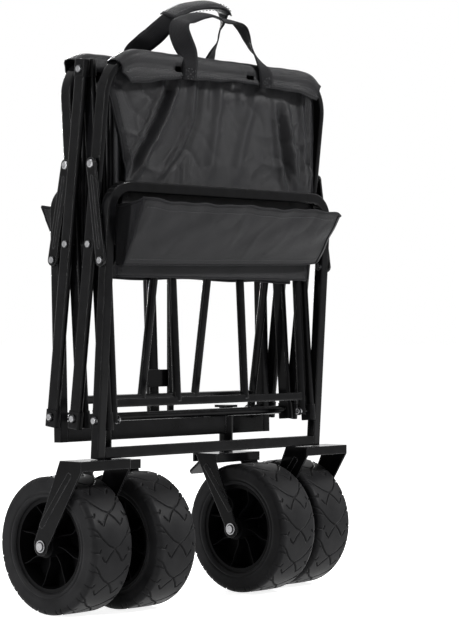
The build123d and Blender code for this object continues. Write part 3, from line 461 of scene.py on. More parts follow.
def finish_for(name):
    for words, material in NODE_FINISH:
        if any(w in name for w in words):
            return material
    return FRAME_PAINT


for name, node in frame["nodes"].items():
    for slot in node.material_slots:
        slot.material = finish_for(name)
print("finished CAD pieces", len(frame["nodes"]))

# %% [markdown]
# A rivet head is bright only on its crown. Its skirt and the washer under it sit in
# the shade, so they get a darker steel as painted shade. A mask in the material could find
# them, but the crowns simply look straight out along X or Y. So faces that don't get the
# darker steel.

# %% Painted shade on the skirts of rivets and bolts
CROWN = 0.95
for name, node in frame["nodes"].items():
    if finish_for(name) is PLATED_STEEL:
        mesh = node.data
        mesh.materials.append(SKIRT_SHADE_STEEL)
        for polygon in mesh.polygons:
            if max(abs(polygon.normal.x), abs(polygon.normal.y)) < CROWN:
                polygon.material_index = len(mesh.materials) - 1
print("rivet skirts finished")

# %% [markdown]
# Most of the soft parts are surfaces laid out on a grid of points: rows across and
# columns down. Cloth simulation would also drape them, but sewn seams would have to be
# pinned one by one. On a grid, each fold and seam is placed where the cloth is held.
# `surface` makes such a mesh with a UV map in metres, so that the weave has the same
# scale everywhere, and gives it a cloth's thickness.

# %% Grid surface helper


def surface(name, grids, material, thick=0.0, wrap=False, smooth=True, skip=None):
    """A mesh piece from one or more grids[rows, columns, 3] in millimetres.

    wrap joins the last column to the first. skip(row, column) leaves a face out, for an opening.
    """
    grids = [grids] if isinstance(grids, np.ndarray) else grids
    flat, faces, uvs = [], [], []
    start = 0
    for points in grids:
        rows, columns = points.shape[:2]
        for r in range(rows - 1):
            for c in range(columns if wrap else columns - 1):
                if skip is not None and skip(r, c):
                    continue
                d = (c + 1) % columns
                faces.append((start + r * columns + c, start + r * columns + d,
                              start + (r + 1) * columns + d, start + (r + 1) * columns + c))
        along = np.zeros((rows, columns))
        down = np.zeros((rows, columns))
        along[:, 1:] = np.cumsum(np.linalg.norm(np.diff(points, axis=1), axis=2), axis=1)
        down[1:, :] = np.cumsum(np.linalg.norm(np.diff(points, axis=0), axis=2), axis=0)
        uvs.append(np.stack([along, down], axis=2).reshape(-1, 2) / 1000.0)
        flat.append(spot(points).reshape(-1, 3))
        start += rows * columns
    mesh = bpy.data.meshes.new(name)
    mesh.from_pydata(np.concatenate(flat).tolist(), [], faces)
    layer = mesh.uv_layers.new(name="cloth")
    corners = np.empty(len(mesh.loops), dtype=int)
    mesh.loops.foreach_get("vertex_index", corners)
    layer.data.foreach_set("uv", np.concatenate(uvs)[corners].ravel())
    mesh.materials.append(material)
    if smooth:
        mesh.shade_smooth()
    piece = in_scene(name, mesh)
    if thick:
        skin = piece.modifiers.new("thickness", "SOLIDIFY")
        skin.thickness = thick / 1000.0
        skin.offset = 0.0
    return piece


print("grid helper ready")

# %% [markdown]
# Cloth that hangs from a bar has a few long folds, and fine wrinkles between them. A
# noise texture would give wrinkles without direction. `fold` raises one fold along a
# chosen path, and `crumple` makes slanting ridges that come and go.

# %% Path, fold and wrinkle helpers


def steps(low, high, count):
    return np.linspace(low, high, count)


def read_off(points, at):
    """The second value of (first, second) points, read off at any first value."""
    table = np.array(points, dtype=float)
    return np.interp(at, table[:, 0], table[:, 1])


def through(points, count):
    """A smooth path of count points through the given ones (Catmull-Rom)."""
    p = np.array(points, dtype=float)
    p = np.vstack([2 * p[0] - p[1], p, 2 * p[-1] - p[-2]])
    spans = len(p) - 3
    place = np.linspace(0, spans - 1e-9, count)
    i = place.astype(int)
    t = (place - i)[:, None]
    a, b, c, d = p[i], p[i + 1], p[i + 2], p[i + 3]
    square, cube = 2 * a - 5 * b + 4 * c - d, 3 * b - a - 3 * c + d
    return 0.5 * (2 * b + (c - a) * t + square * t ** 2 + cube * t ** 3)


def fold(x, z, path, width, height):
    """A soft fold running down a wall along path, its (z, x) points, fading out beyond both ends."""
    levels = sorted(path)
    middle = read_off(levels, z)
    fade = np.clip((z - levels[0][0]) / 40 + 1, 0, 1) * np.clip((levels[-1][0] - z) / 30 + 1, 0, 1)
    return height * np.exp(-((x - middle) / width) ** 2) * fade


def crumple(x, z, size, angle, seed):
    """Fine sharp wrinkles, 0 to 1, that come and go over the cloth."""
    along = x * math.cos(angle) + z * math.sin(angle)
    across = -x * math.sin(angle) + z * math.cos(angle)
    bend = 0.9 * np.sin(along / (size * 2.3) + seed) + 0.6 * np.sin(along / (size * 1.1) + 2.1 * seed)
    ridge = (1 - np.abs(np.sin(across / size + bend))) ** 2.5
    patch = np.sin(x / (size * 3.1) + seed) * np.sin(z / (size * 2.6) + 1.7 * seed)
    return ridge * np.clip(patch + 0.25, 0, 1)


print("fold helpers ready")

# %% [markdown]
# Hems, piping and bindings are thin rolls of tape along an edge. A bevelled curve would
# make them too. A tube on a grid follows the cloth's own points, so it can't drift off
# the edge. Stitches could be a texture line, but real thread stands proud and casts
# small shadows, so each one is a small spindle.

# %% Piping and stitch helpers


def tube(path, radius, sides=8):
    """The grid of a thin round tube along a path in millimetres, for piping and hems."""
    path = np.asarray(path, dtype=float)
    way = np.gradient(path, axis=0)
    way /= np.linalg.norm(way, axis=1)[:, None] + 1e-9
    first = np.cross(way, (0.13, 0.27, 0.95) if abs(way[0, 2]) < 0.8 else (0.95, 0.27, 0.13))
    first /= np.linalg.norm(first, axis=1)[:, None]
    second = np.cross(way, first)
    a = np.arange(sides) / sides * 2 * math.pi
    ring = first[:, None] * np.cos(a)[None, :, None] + second[:, None] * np.sin(a)[None, :, None]
    grid = path[:, None] + radius * ring
    ends = [path[:1, None] + 0.02 * ring[:1], path[-1:, None] + 0.02 * ring[-1:]]
    return np.concatenate([ends[0], grid, ends[1]])


STITCH = 4.2
STITCH_PITCH = 6.5
THREAD_HALF = 0.55
STITCH_TAPER = 0.8


def stitches(name, lines, material):
    """Rows of separate stitches along lines in millimetres, one small spindle each."""
    verts, faces = [], []
    for line in lines:
        line = np.asarray(line, dtype=float)
        run = np.concatenate([[0], np.cumsum(np.linalg.norm(np.diff(line, axis=0), axis=1))])
        for s in np.arange(STITCH_PITCH / 2, run[-1] - STITCH, STITCH_PITCH):
            a, b = (np.array([np.interp(v, run, line[:, k]) for k in range(3)]) for v in (s, s + STITCH))
            way = (b - a) / (np.linalg.norm(b - a) + 1e-9)
            side = np.cross(way, (0.0, 1.0, 0.0))
            side /= np.linalg.norm(side) + 1e-9
            up = np.cross(way, side)
            n = len(verts)
            mid_a, mid_b = a + way * STITCH_TAPER, b - way * STITCH_TAPER
            verts.append(a)
            for m in (mid_a, mid_b):
                verts.extend([m + side * THREAD_HALF, m + up * THREAD_HALF,
                              m - side * THREAD_HALF, m - up * THREAD_HALF])
            verts.append(b)
            for k in range(4):
                j = (k + 1) % 4
                faces += [(n, n + 1 + j, n + 1 + k), (n + 1 + k, n + 1 + j, n + 5 + j, n + 5 + k),
                          (n + 9, n + 5 + k, n + 5 + j)]
    mesh = bpy.data.meshes.new(name)
    mesh.from_pydata(spot(np.array(verts)).tolist(), [], faces)
    mesh.materials.append(material)
    mesh.shade_smooth()
    return in_scene(name, mesh)


print("stitch length", STITCH, "mm")

# %% [markdown]
# Wide tyres are moulded: a smooth sidewall with thin rings, a rounded shoulder and a
# broad tread. The grooves cross as an X in the middle of the tread. Two arms run
# down over the shoulders and two short ones end in a hook. A bump map would show
# them, but not in the tyre's outline. So they are cut into the mesh itself, by
# lowering every point that lies near a groove line.

# %% Tyre mesh
TYRE_R = (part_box("rear_tyre_left")[1].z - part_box("rear_tyre_left")[0].z) * 500
TYRE_HALF = (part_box("rear_tyre_left")[1].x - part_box("rear_tyre_left")[0].x) * 500
RIM_R = 69.5
SHOULDER = 9.0
CROWN_DROP = 0.5
PITCHES = 12
COLUMNS_PER_PITCH = 62
PITCH = 2 * math.pi * TYRE_R / PITCHES
GROOVE_DEEP = 2.3
GROOVE_HALF = 1.05


def tyre_profile():
    """(across, radius) points from one bead over the tread to the other bead."""
    wall = [(TYRE_HALF - 5, RIM_R), (TYRE_HALF - 2.2, RIM_R + 1.2), (TYRE_HALF - 0.4, RIM_R + 3.2),
            (TYRE_HALF, RIM_R + 5), (TYRE_HALF, RIM_R + 6.4), (TYRE_HALF - 1.1, RIM_R + 7),
            (TYRE_HALF - 1.1, RIM_R + 7.8), (TYRE_HALF - 0.1, RIM_R + 8.4), (TYRE_HALF, RIM_R + 12),
            (TYRE_HALF, RIM_R + 17), (TYRE_HALF - 0.1, RIM_R + 21)]
    flat_half = TYRE_HALF - SHOULDER
    shoulder = [(flat_half + SHOULDER * math.cos(a), TYRE_R - SHOULDER - CROWN_DROP + SHOULDER * math.sin(a))
                for a in steps(0, math.pi / 2, 13)]
    half_crown = [(x, TYRE_R - CROWN_DROP * (x / flat_half) ** 2) for x in steps(flat_half - 0.9, 0, 34)]
    half = wall + shoulder + half_crown
    return np.array(half + [(-x, r) for x, r in half[-2::-1]])


# Millimetres across the tread, and pitches along it. The other hand is the mirror image.
LONG_ARM = [(45, -0.66), (38, -0.6), (31, -0.5), (22, -0.28), (11, -0.1), (0, 0.0), (-9, 0.17), (-16, 0.36),
            (-20, 0.3), (-24, 0.2)]
SHORT_ARM = [(27, 0.66), (35, 0.6), (45, 0.57)]
HOOK = [(45, 0.02), (37, 0.06), (30, 0.09), (27, 0.0)]
groove_lines = [[(hand * across, along) for across, along in line]
                for hand in (-1, 1) for line in (LONG_ARM, SHORT_ARM, HOOK)]


def groove_distance(across, around):
    """Shortest distance from each tread point to a groove line, repeated at every pitch."""
    best = np.full(across.shape, 1e9)
    for line in groove_lines:
        dense = np.array(line, dtype=float) * (1, PITCH)
        for shift in (-PITCH, 0, PITCH):
            moved = dense + (0, shift)
            for (ax, ay), (bx, by) in zip(moved[:-1], moved[1:]):
                dx, dy = bx - ax, by - ay
                t = np.clip(((across - ax) * dx + (around - ay) * dy) / (dx * dx + dy * dy), 0, 1)
                best = np.minimum(best, np.hypot(across - ax - t * dx, around - ay - t * dy))
    return best


profile = tyre_profile()
columns = PITCHES * COLUMNS_PER_PITCH
turn = np.arange(columns) / columns * 2 * math.pi
around = (turn * TYRE_R) % PITCH
middle_row = len(profile) // 2
step_len = np.linalg.norm(np.diff(profile, axis=0), axis=1)
across_arc = np.concatenate([[0], np.cumsum(step_len)])
across_arc = across_arc[middle_row] - across_arc
near = groove_distance(np.repeat(across_arc[:, None], columns, 1),
                       np.repeat(around[None, :], len(profile), 0))
cut = GROOVE_DEEP * (1 - np.clip((near - GROOVE_HALF * 0.4) / (GROOVE_HALF * 0.8), 0, 1) ** 2)
reach = np.clip((profile[:, 1] - (TYRE_R - SHOULDER)) / 3, 0, 1)[:, None]
radius = profile[:, 1][:, None] - cut * reach
tyre_points = np.stack([np.repeat(profile[:, :1], columns, 1), radius * np.cos(turn), radius * np.sin(turn)],
                       axis=2)
print("tyre", tyre_points.shape[0] * columns, "points, groove pitch", round(PITCH, 1), "mm")

# %% [markdown]
# All four wheels are alike, so their tyres share one mesh, as copies of one casting.
# Four separate meshes would look the same and take four times the memory.

# %% Place the four tyres


def on_each_wheel(first, label, part):
    """The first object and three more with its mesh, each amid that CAD part: (end, hand, piece)."""
    mesh = first.data
    mesh.transform(Matrix.Translation((0, -Y_SHIFT / 1000, 0)))
    wheels = [(end, hand) for end in ("rear", "front") for hand in ("left", "right")]
    for number, (end, hand) in enumerate(wheels):
        piece = in_scene(label, mesh) if number else first
        piece.name = f"{end}_{label}_{hand}"
        low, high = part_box(f"{end}_{part}_{hand}")
        piece.location = (low + high) / 2
        yield end, hand, piece


tread = surface("tyre_tread", tyre_points, TYRE_RUBBER, wrap=True)
for end, hand, piece in on_each_wheel(tread, "treaded_tyre", "tyre"):
    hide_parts(f"{end}_tyre_{hand}")
    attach(piece, f"{end}_wheel_{hand}")
print("tyres placed")

# %% [markdown]
# The wheel centres are moulded plastic with eight thin curved ribs on each face, from
# the hub to the drum. A straight box turned eight times would be easier, but a rib is
# gently bent and has a rounded, dipping edge. So it is swept along its path. All
# sixteen ribs of a wheel make one mesh, which the four wheels share.

# %% Ribs of the wheel centres
RIB_COUNT = 8
RIB_HALF = 0.8
HUB_R = 17.0
WEB_FACE = 3.0
RIB_TOP = TYRE_HALF - 8.0
RIB_FROM = HUB_R - 1.5
RIB_TO = RIM_R - 5.0
RIB_DIP = 7.0


def rib_blade(side, number):
    """Rows of six points from the hub out, round the blade's section."""
    t = steps(0, 1, 16)
    r = RIB_FROM + t * (RIB_TO - RIB_FROM)
    a = 2 * math.pi * number / RIB_COUNT + 0.3 * t + 0.16 * np.sin(math.pi * t) ** 2
    top = RIB_TOP - RIB_DIP * np.sin(math.pi * np.clip(t * 0.9, 0, 1)) ** 1.5
    rows = []
    for k in range(len(t)):
        centre = np.array([math.cos(a[k]), math.sin(a[k])]) * r[k]
        across = np.array([-math.sin(a[k]), math.cos(a[k])])
        row = [(side * x, *(centre + across * w)) for x, w in
               ((WEB_FACE - 0.5, -RIB_HALF * 1.4), (top[k] - 1.2, -RIB_HALF), (top[k], -RIB_HALF * 0.5),
                (top[k], RIB_HALF * 0.5), (top[k] - 1.2, RIB_HALF), (WEB_FACE - 0.5, RIB_HALF * 1.4))]
        rows.append(row if side > 0 else row[::-1])
    return np.array(rows)


blades = [rib_blade(side, n) for side in (-1, 1) for n in range(RIB_COUNT)]
ribs = surface("rib_mesh", blades, CENTRE_PLASTIC, wrap=True, smooth=False)
for end, hand, piece in on_each_wheel(ribs, "wheel_ribs", "rim"):
    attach(piece, f"{end}_wheel_{hand}")
print("ribs on each wheel", 2 * RIB_COUNT)

# %% [markdown]
# The upper rivet of each stamped link is part of the link's mesh. A new disc on top
# would stand proud of the real one. So a second material slot gives bare steel to the
# faces of that rivet head, which stand outside the link.

# %% Steel rivet heads on the links
LINK_HEAD_R = 6.4
# The head's y and z, and how far out from the middle its faces begin.
LINK_HEADS = {"rear_links": (2.1, 657.5, 254.8), "front_links": (72.5, 659.3, 238.8)}
for name, (head_y, head_z, face_x) in LINK_HEADS.items():
    mesh = frame["nodes"][name].data
    mesh.materials.append(PLATED_STEEL)
    slot_number = len(mesh.materials) - 1
    middle = spot((0, head_y, head_z))
    for polygon in mesh.polygons:
        c = polygon.center
        away = math.hypot(c.y - middle[1], c.z - middle[2]) * 1000
        if abs(c.x) * 1000 > face_x and away < LINK_HEAD_R:
            polygon.material_index = slot_number
print("rivet heads finished")

# %% [markdown]
# The end walls of the cloth tub hang from the rim bars. Each wall's top edge is a
# sleeve: the cloth goes over the bar, is stitched to itself just below it, and its
# hem hangs as a short flap. It could be a tube with a strip below, but the join would
# show. So it is one section carried along the bar, round its bends and down the flap,
# with slots cut beside the straps.

# %% Sleeve over a rim bar
BENDS_AT = 181.5
BEND_R = 60.0
# Each bar's y, z, lean in degrees, and the way that is outward along Y.
REAR_BAR = (-17.0, 817.4, 6.8, -1)
FRONT_BAR = (83.7, 819.9, 4.0, 1)
# Points round the bar, as millimetres out and up from its middle.
SLEEVE_SECTION = [(-13.6, -18), (-13.8, -8), (-13.4, 2), (-11.5, 7), (-6, 9.4), (2, 10), (9, 8.6),
                  (13.4, 4.6), (15.2, -2), (15.4, -9), (14.5, -14)]


def on_bar(s, out, up, bar):
    """A point beside a rim bar: s along the bar, out from its middle and up."""
    y, z, lean, way = bar
    bend = np.clip(np.abs(s) - BENDS_AT, 0, None) / BEND_R
    k = np.clip((up + 10) / 10, 0, 1)
    px = np.minimum(np.abs(s), BENDS_AT) + BEND_R * np.sin(bend) + up * np.sin(bend) * k
    pz = z - BEND_R * (1 - np.cos(bend)) + up * (1 - k + k * np.cos(bend))
    py = y + way * (out + (pz - z) * math.tan(math.radians(lean))) + 0 * s
    return np.stack(np.broadcast_arrays(np.sign(s) * px, py, pz), axis=-1)


def flap_edge(x):
    """Height of the flap's hem, which rises to the sides and ripples a little."""
    return 796.0 - 20.0 * np.abs((x - 30.0) / 234.0) ** 2.2 + 1.3 * np.sin(x / 21.0) + 0.8 * np.sin(x / 8.3)


SLEEVE_ROWS = 170
FLAP_STEPS = 7


def sleeve_grid(bar, reach_top, reach_low):
    """Rows along the bar, columns round the section and down the flap."""
    section = np.array(SLEEVE_SECTION)
    u = steps(0, 1, SLEEVE_ROWS)
    columns = []
    for number in range(len(section) + FLAP_STEPS):
        q = number / (len(section) + FLAP_STEPS - 1)
        drawn_in = max(0.0, (q - 0.5) * 2)
        left, right = (top + (low - top) * drawn_in for top, low in zip(reach_top, reach_low))
        s = left + (right - left) * u
        ripple = 0.5 * np.sin(s / 17.0 + number) + 0.4 * np.sin(s / 6.1 + 2 * number)
        if number < len(section):
            out, up = section[number]
            columns.append(on_bar(s, out + ripple * 0.5 * (out > 0), up + ripple * 0.5, bar))
        else:
            f = (number - len(section) + 1) / FLAP_STEPS
            top = on_bar(s, *SLEEVE_SECTION[-1], bar)
            low_z = np.minimum(flap_edge(s), top[:, 2] - 5)
            point = top.copy()
            point[:, 2] = top[:, 2] + (low_z - top[:, 2]) * f
            point[:, 1] += bar[3] * (1.8 * math.sin(math.pi * f) + 2.4 * f * (1 + np.sin(s / 24.0)) * 0.5)
            columns.append(point)
    return np.stack(columns, axis=1)


# %% [markdown]
# The straps come out through short openings in the sleeve. A boolean cut would leave
# ragged triangles in thin cloth. The grid simply leaves out the faces in the opening,
# and the stitching stops on both sides of it.

# %% Sleeves with their openings
# Where the openings begin and end along X, and which columns of the section they cross.
SLOTS = {"rear": ((-113, -99), (48, 62)), "front": ((-50, -36), (122, 136))}
SLOT_COLUMNS = range(9, len(SLEEVE_SECTION) + 1)
SLOT_MARGIN = 3


def runs_outside(line, gaps):
    """The stretches of a line, longer than three points, that lie outside gaps along X."""
    runs = [[]]
    for point in line:
        if any(a < point[0] < b for a, b in gaps):
            runs.append([])
        else:
            runs[-1].append(point)
    return [run for run in runs if len(run) > 3]


def sleeve_piece(end, bar, reach_top, reach_low):
    grid = sleeve_grid(bar, reach_top, reach_low)

    def in_slot(r, c):
        x = (grid[r, c, 0] + grid[r + 1, c, 0]) / 2
        return c in SLOT_COLUMNS and any(a < x < b for a, b in SLOTS[end])

    piece = surface(f"{end}_sleeve_and_flap", grid, TUB_CLOTH, thick=1.1, skip=in_slot)
    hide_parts(f"{end}_rim_sleeve")
    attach(piece, f"{end}_rim")
    hem = surface(f"{end}_flap_piping", tube(grid[:, -1], 1.5), HEM_TAPE, wrap=True)
    sides = surface(f"{end}_flap_end_piping", [tube(grid[0, 6:], 1.3), tube(grid[-1, 6:], 1.3)], HEM_TAPE,
                    wrap=True)
    out = (0, bar[3] * 0.9, 0)
    upper, lower = grid[:, len(SLEEVE_SECTION)] + out, grid[:, len(SLEEVE_SECTION) + 4] + out
    gaps = [(a - SLOT_MARGIN, b + SLOT_MARGIN) for a, b in SLOTS[end]]
    seams = runs_outside(upper, gaps) + [lower]
    thread = stitches(f"{end}_sleeve_stitching", seams, THREAD)
    for trim in (hem, sides, thread):
        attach(trim, f"{end}_rim")
    return grid


rear_sleeve = sleeve_piece("rear", REAR_BAR, (-226, 226), (-204, 216))
front_sleeve = sleeve_piece("front", FRONT_BAR, (-216, 216), (-205, 205))
print("sleeves", rear_sleeve.shape, front_sleeve.shape)

# %% [markdown]
# The walls are single panels of cloth, drawn in where the folded bars crowd them.
# Their folds follow how the cloth is held: deep folds run down and outward from the
# sleeve to the sides, with short gathers just below the flap. A simulated drape would
# put its folds elsewhere each time a number changes. So a grid is lowered and raised
# along chosen fold lines, and the panel stays flat behind the frame's top tube.

# %% Where the walls are held
# Edges are (z, x) points. A fold is its (z, x) path, its half width and its height.
REAR_WALL_Y = -12.5
FRONT_WALL_Y = 92.0
REAR_LEFT_EDGE = [(495, -214), (560, -212), (602, -205), (639, -198), (680, -200), (729, -216), (770, -231),
                  (803, -224)]
REAR_RIGHT_EDGE = [(495, 214), (600, 218), (640, 226), (700, 230), (737, 232), (777, 232), (803, 224)]
REAR_FOLDS = [([(640, -190), (673, -171), (728, -131), (774, -106)], 9, -8.5),
              ([(640, -176), (673, -156), (728, -115), (774, -92)], 9, 4.5),
              ([(640, -204), (673, -186), (728, -148), (774, -124)], 9, 3.5),
              ([(640, -131), (686, -88), (733, -62), (785, -56)], 12, 4.0),
              ([(640, -116), (686, -72), (733, -47), (785, -40)], 9, -2.5),
              ([(640, 169), (684, 159), (747, 147)], 10, -6.5),
              ([(640, 186), (684, 176), (747, 163)], 10, 4.5),
              ([(640, 152), (684, 143), (747, 131)], 9, 3.0),
              ([(650, 204), (775, 196)], 8, 3.2), ([(650, 216), (775, 212)], 6, -3.0),
              ([(650, 40), (720, 62), (780, 88)], 20, 2.2), ([(650, -20), (720, -4), (785, 6)], 16, 1.6)]
FRONT_FOLDS = [([(650, -170), (774, -120)], 12, 5.0), ([(650, -150), (774, -104)], 9, -4.0),
               ([(650, 165), (774, 128)], 12, 5.0), ([(650, 150), (774, 112)], 9, -4.0),
               ([(640, -60), (774, -30)], 18, 2.4), ([(640, 70), (774, 34)], 18, 2.6)]
TOP_TUBE_Z = 626.0
WALL_TOP = 803
REAR_WALL_LOW, FRONT_WALL_LOW = 495, 546
FRONT_LEFT_EDGE = [(546, -211), (640, -208), (700, -206), (803, -212)]
FRONT_RIGHT_EDGE = [(546, 211), (640, 208), (700, 206), (803, 212)]
print("folds", len(REAR_FOLDS) + len(FRONT_FOLDS))

# %% [markdown]
# Over the long folds lie the gathers below the sleeve, slow waves, and wrinkles that
# grow livelier towards the sides. The side edges curl back. Where the frame's top tube
# crosses the wall, nothing may stand proud, so the relief fades out there.

# %% End walls
FOLD_NARROWING = 0.62
FOLD_DEEPENING = 1.3


def wall_grid(way, wall_y, left, right, low, folds):
    rows, columns = 110, 150
    z = steps(WALL_TOP, low, rows)[:, None] + np.zeros((1, columns))
    x0, x1 = read_off(left, z), read_off(right, z)
    u = steps(0, 1, columns)[None, :]
    x = x0 + (x1 - x0) * u
    relief = np.zeros_like(x)
    for path, width, height in folds:
        relief += fold(x, z, path, width * FOLD_NARROWING, height * FOLD_DEEPENING)
    gather = np.clip((z - 735) / 65, 0, 1) * np.clip(1 - np.abs(x) / 190, 0, 1)
    relief += gather * (1.5 * np.sin(x / 7.4) + 0.9 * np.sin(x / 4.1 + 1))
    relief += 0.7 * np.sin(x / 31 + z / 47) + 0.4 * np.sin(x / 13 - z / 23)
    lively = 0.5 + 0.8 * np.clip(np.abs(x) / 150, 0, 1) ** 2
    relief += lively * (2.0 * crumple(x, z, 17.0, 0.5, 1.3) - 1.7 * crumple(x, z, 12.0, -0.75, 2.9)
                        + 1.2 * crumple(x, z, 8.0, 1.1, 4.2))
    curl = np.clip(1 - np.minimum(u, 1 - u) * 34, 0, 1)
    relief -= 5.0 * curl ** 2
    relief = np.where(relief > 0, relief * (1 - np.exp(-((z - TOP_TUBE_Z) / 17) ** 2)), relief)
    calm = np.clip((z - TOP_TUBE_Z) / 40, 0.25, 1)
    return np.stack([x, wall_y + way * relief * calm, z], axis=2)


def wall_piece(end, grid, way):
    piece = surface(f"{end}_wall_cloth", grid, TUB_CLOTH, thick=1.1)
    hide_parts(f"{end}_end_wall")
    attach(piece, f"{end}_wall")
    out = (0, way * 0.7, 0)
    hems = surface(f"{end}_wall_hems", [tube(grid[::2, 0] + out, 1.7), tube(grid[::2, -1] + out, 1.7),
                                        tube(grid[-1, ::3], 1.5)], HEM_TAPE, wrap=True)
    proud = (0, way * 0.9, 0)
    thread = stitches(f"{end}_wall_stitching", [grid[:, 3] + proud, grid[:, -4] + proud], THREAD)
    for trim in (hems, thread):
        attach(trim, f"{end}_wall")


rear_wall = wall_grid(-1, REAR_WALL_Y, REAR_LEFT_EDGE, REAR_RIGHT_EDGE, REAR_WALL_LOW, REAR_FOLDS)
wall_piece("rear", rear_wall, -1)
front_wall = wall_grid(1, FRONT_WALL_Y, FRONT_LEFT_EDGE, FRONT_RIGHT_EDGE, FRONT_WALL_LOW, FRONT_FOLDS)
wall_piece("front", front_wall, 1)
print("walls", rear_wall.shape)

# %% [markdown]
# A pocket is one strip of cloth: a gusset, the front panel, another gusset, sewn to
# the wall along both ends and along its bottom. A box with a missing lid would look
# stiff. The mouth of the real one stands open, so the strip flares from a narrow
# bottom to a wide rim. The rim waves, and the panel sags in soft diagonal folds.

# %% Shape of a pocket
POCKET_OUT = 62.0
POCKET_FOOT = 14.0
POCKET_DEEP = 90.0
GUSSET_COLUMNS, FRONT_COLUMNS, POCKET_ROWS = 11, 90, 34
TUCK = 9.0
FLARE = 3.0
CORNER_PULL = 3.0
MOUTH_DIP = 9.0


def pocket_row(t, x0, x1, wall_y, way, seed):
    """The strip's plan at share t of its height: (x, y) points from gusset to gusset."""
    h = max(t, 0.0)
    d = POCKET_FOOT + (POCKET_OUT - POCKET_FOOT) * h ** 0.92
    d *= (0.2 if t < -0.03 else 0.75) if t < 0 else 1.0
    q_side = steps(0, 1, GUSSET_COLUMNS)[:-1]
    q_front = steps(0, 1, FRONT_COLUMNS)
    q_back = q_side[1:]
    tuck = TUCK * h * np.sin(math.pi * q_side)
    flare = FLARE * h ** 2
    x = x0 - flare + (x1 - x0 + 2 * flare) * q_front
    corners = np.exp(-(q_front / 0.02) ** 2) + np.exp(-((1 - q_front) / 0.02) ** 2)
    belly = 2.6 * np.sin(math.pi * q_front) * math.sin(math.pi * h) - CORNER_PULL * corners * h
    slope = (q_front * (x1 - x0) / 440.0 - 0.45 * h) * 2 * math.pi
    waves = 1.1 * np.sin(slope * 2.1 + seed) + 0.6 * np.sin(slope * 4.7 + 2 * seed)
    waves += 1.6 * crumple(x, POCKET_DEEP * h, 15.0, 0.85, seed)
    waves -= 1.2 * crumple(x, POCKET_DEEP * h, 10.0, 0.6, seed + 2)
    waves *= math.sin(math.pi * h * 0.8)
    left = np.stack([x0 - flare * q_side + tuck, wall_y + way * d * q_side], axis=1)
    front = np.stack([x, wall_y + way * (d + belly + waves)], axis=1)
    right = np.stack([x1 + flare * (1 - q_back) - tuck[1:], wall_y + way * d * (1 - q_back)], axis=1)
    return np.concatenate([left, front, right])


def pocket_grid(x0, x1, wall_y, way, rim, low, seed):
    """Rows from the bottom seam to the rim, columns from gusset to gusset."""
    rows = []
    for t in np.concatenate([[-0.04, -0.01], steps(0, 1, POCKET_ROWS)]):
        h = max(t, 0.0)
        plan = pocket_row(t, x0, x1, wall_y, way, seed)
        rim_z, low_z = read_off(rim, plan[:, 0]), read_off(low, plan[:, 0])
        out = np.clip(np.abs(plan[:, 1] - wall_y) / POCKET_OUT, 0, 1)
        ripple = (1.3 * np.sin(plan[:, 0] / 19 + seed) + 0.8 * np.sin(plan[:, 0] / 8 + seed)) * h
        z = low_z + (rim_z - low_z) * h + ripple - MOUTH_DIP * (1 - out) * h
        rows.append(np.column_stack([plan, z]))
    return np.array(rows)


print("pocket rows", POCKET_ROWS + 2)

# %% [markdown]
# The pocket's edges are what make it look sewn. Its rim is a thick rolled hem. Thin
# piping runs down both corners and along the bottom, and a row of stitches lies just
# inside the rim and the bottom. Each follows a row or a column of the pocket's grid.

# %% Pockets


def pocket_piece(name, grids, way, node, body):
    piece = surface(name, grids, TUB_CLOTH, thick=1.2)
    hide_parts(node)
    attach(piece, body)
    corner = GUSSET_COLUMNS - 1
    rims, edges, seams = [], [], []
    for grid in grids:
        rims.append(tube(grid[-1], 2.3, 10))
        for column in (corner, -corner - 1):
            edges.append(tube(grid[2:, column] + (0, way * 0.6, 0), 1.3))
        edges.append(tube(grid[2, corner:-corner] + (0, way * 0.8, 0), 1.4))
        seams += [grid[row, corner + 1:-corner - 1] + (0, way, 0) for row in (-5, 5)]
    hem = surface(f"{name}_hems", rims, HEM_TAPE, wrap=True)
    piping = surface(f"{name}_piping", edges, HEM_TAPE, wrap=True)
    thread = stitches(f"{name}_stitching", seams, THREAD)
    for trim in (hem, piping, thread):
        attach(trim, body)


# Heights of the rim and of the bottom seam along X.
REAR_RIM_LINE = [(-224, 606), (-216, 605), (-106, 600), (-18, 603), (22, 600), (193, 601), (214, 600),
                 (223, 597)]
REAR_LOW_LINE = [(-227, 511), (-97, 513), (0, 515), (179, 519), (224, 523)]
rear_pocket_grid = pocket_grid(-219, 219, REAR_WALL_Y - 1.5, -1, REAR_RIM_LINE, REAR_LOW_LINE, 0.6)
pocket_piece("rear_pocket_cloth", [rear_pocket_grid], -1, "rear_pocket", "rear_wall")
FRONT_RIM_LINE = [(-210, 602), (0, 599), (210, 602)]
FRONT_LOW_LINE = [(-210, 513), (210, 513)]
front_grids = [pocket_grid(-208, -46, FRONT_WALL_Y + 1.5, 1, FRONT_RIM_LINE, FRONT_LOW_LINE, 1.9),
               pocket_grid(46, 208, FRONT_WALL_Y + 1.5, 1, FRONT_RIM_LINE, FRONT_LOW_LINE, 3.1)]
pocket_piece("front_pocket_cloth", front_grids, 1, "front_pockets", "front_wall")
print("pockets", rear_pocket_grid.shape)

# %% [markdown]
# When the wagon folds, the two side cloths of the tub pleat up between the end walls.
# Real cloth would crumple, and a simulated crumple could not be pulled out flat again.
# Each side is one panel in many close pleats.

# %% Pleated side cloths
PLEATS = 13
PLEAT_IN, PLEAT_OUT = 197.0, 217.5
SIDE_LOW, SIDE_TOP = 542.0, 766.0
SIDE_ROWS, COLUMNS_PER_PLEAT = 26, 10


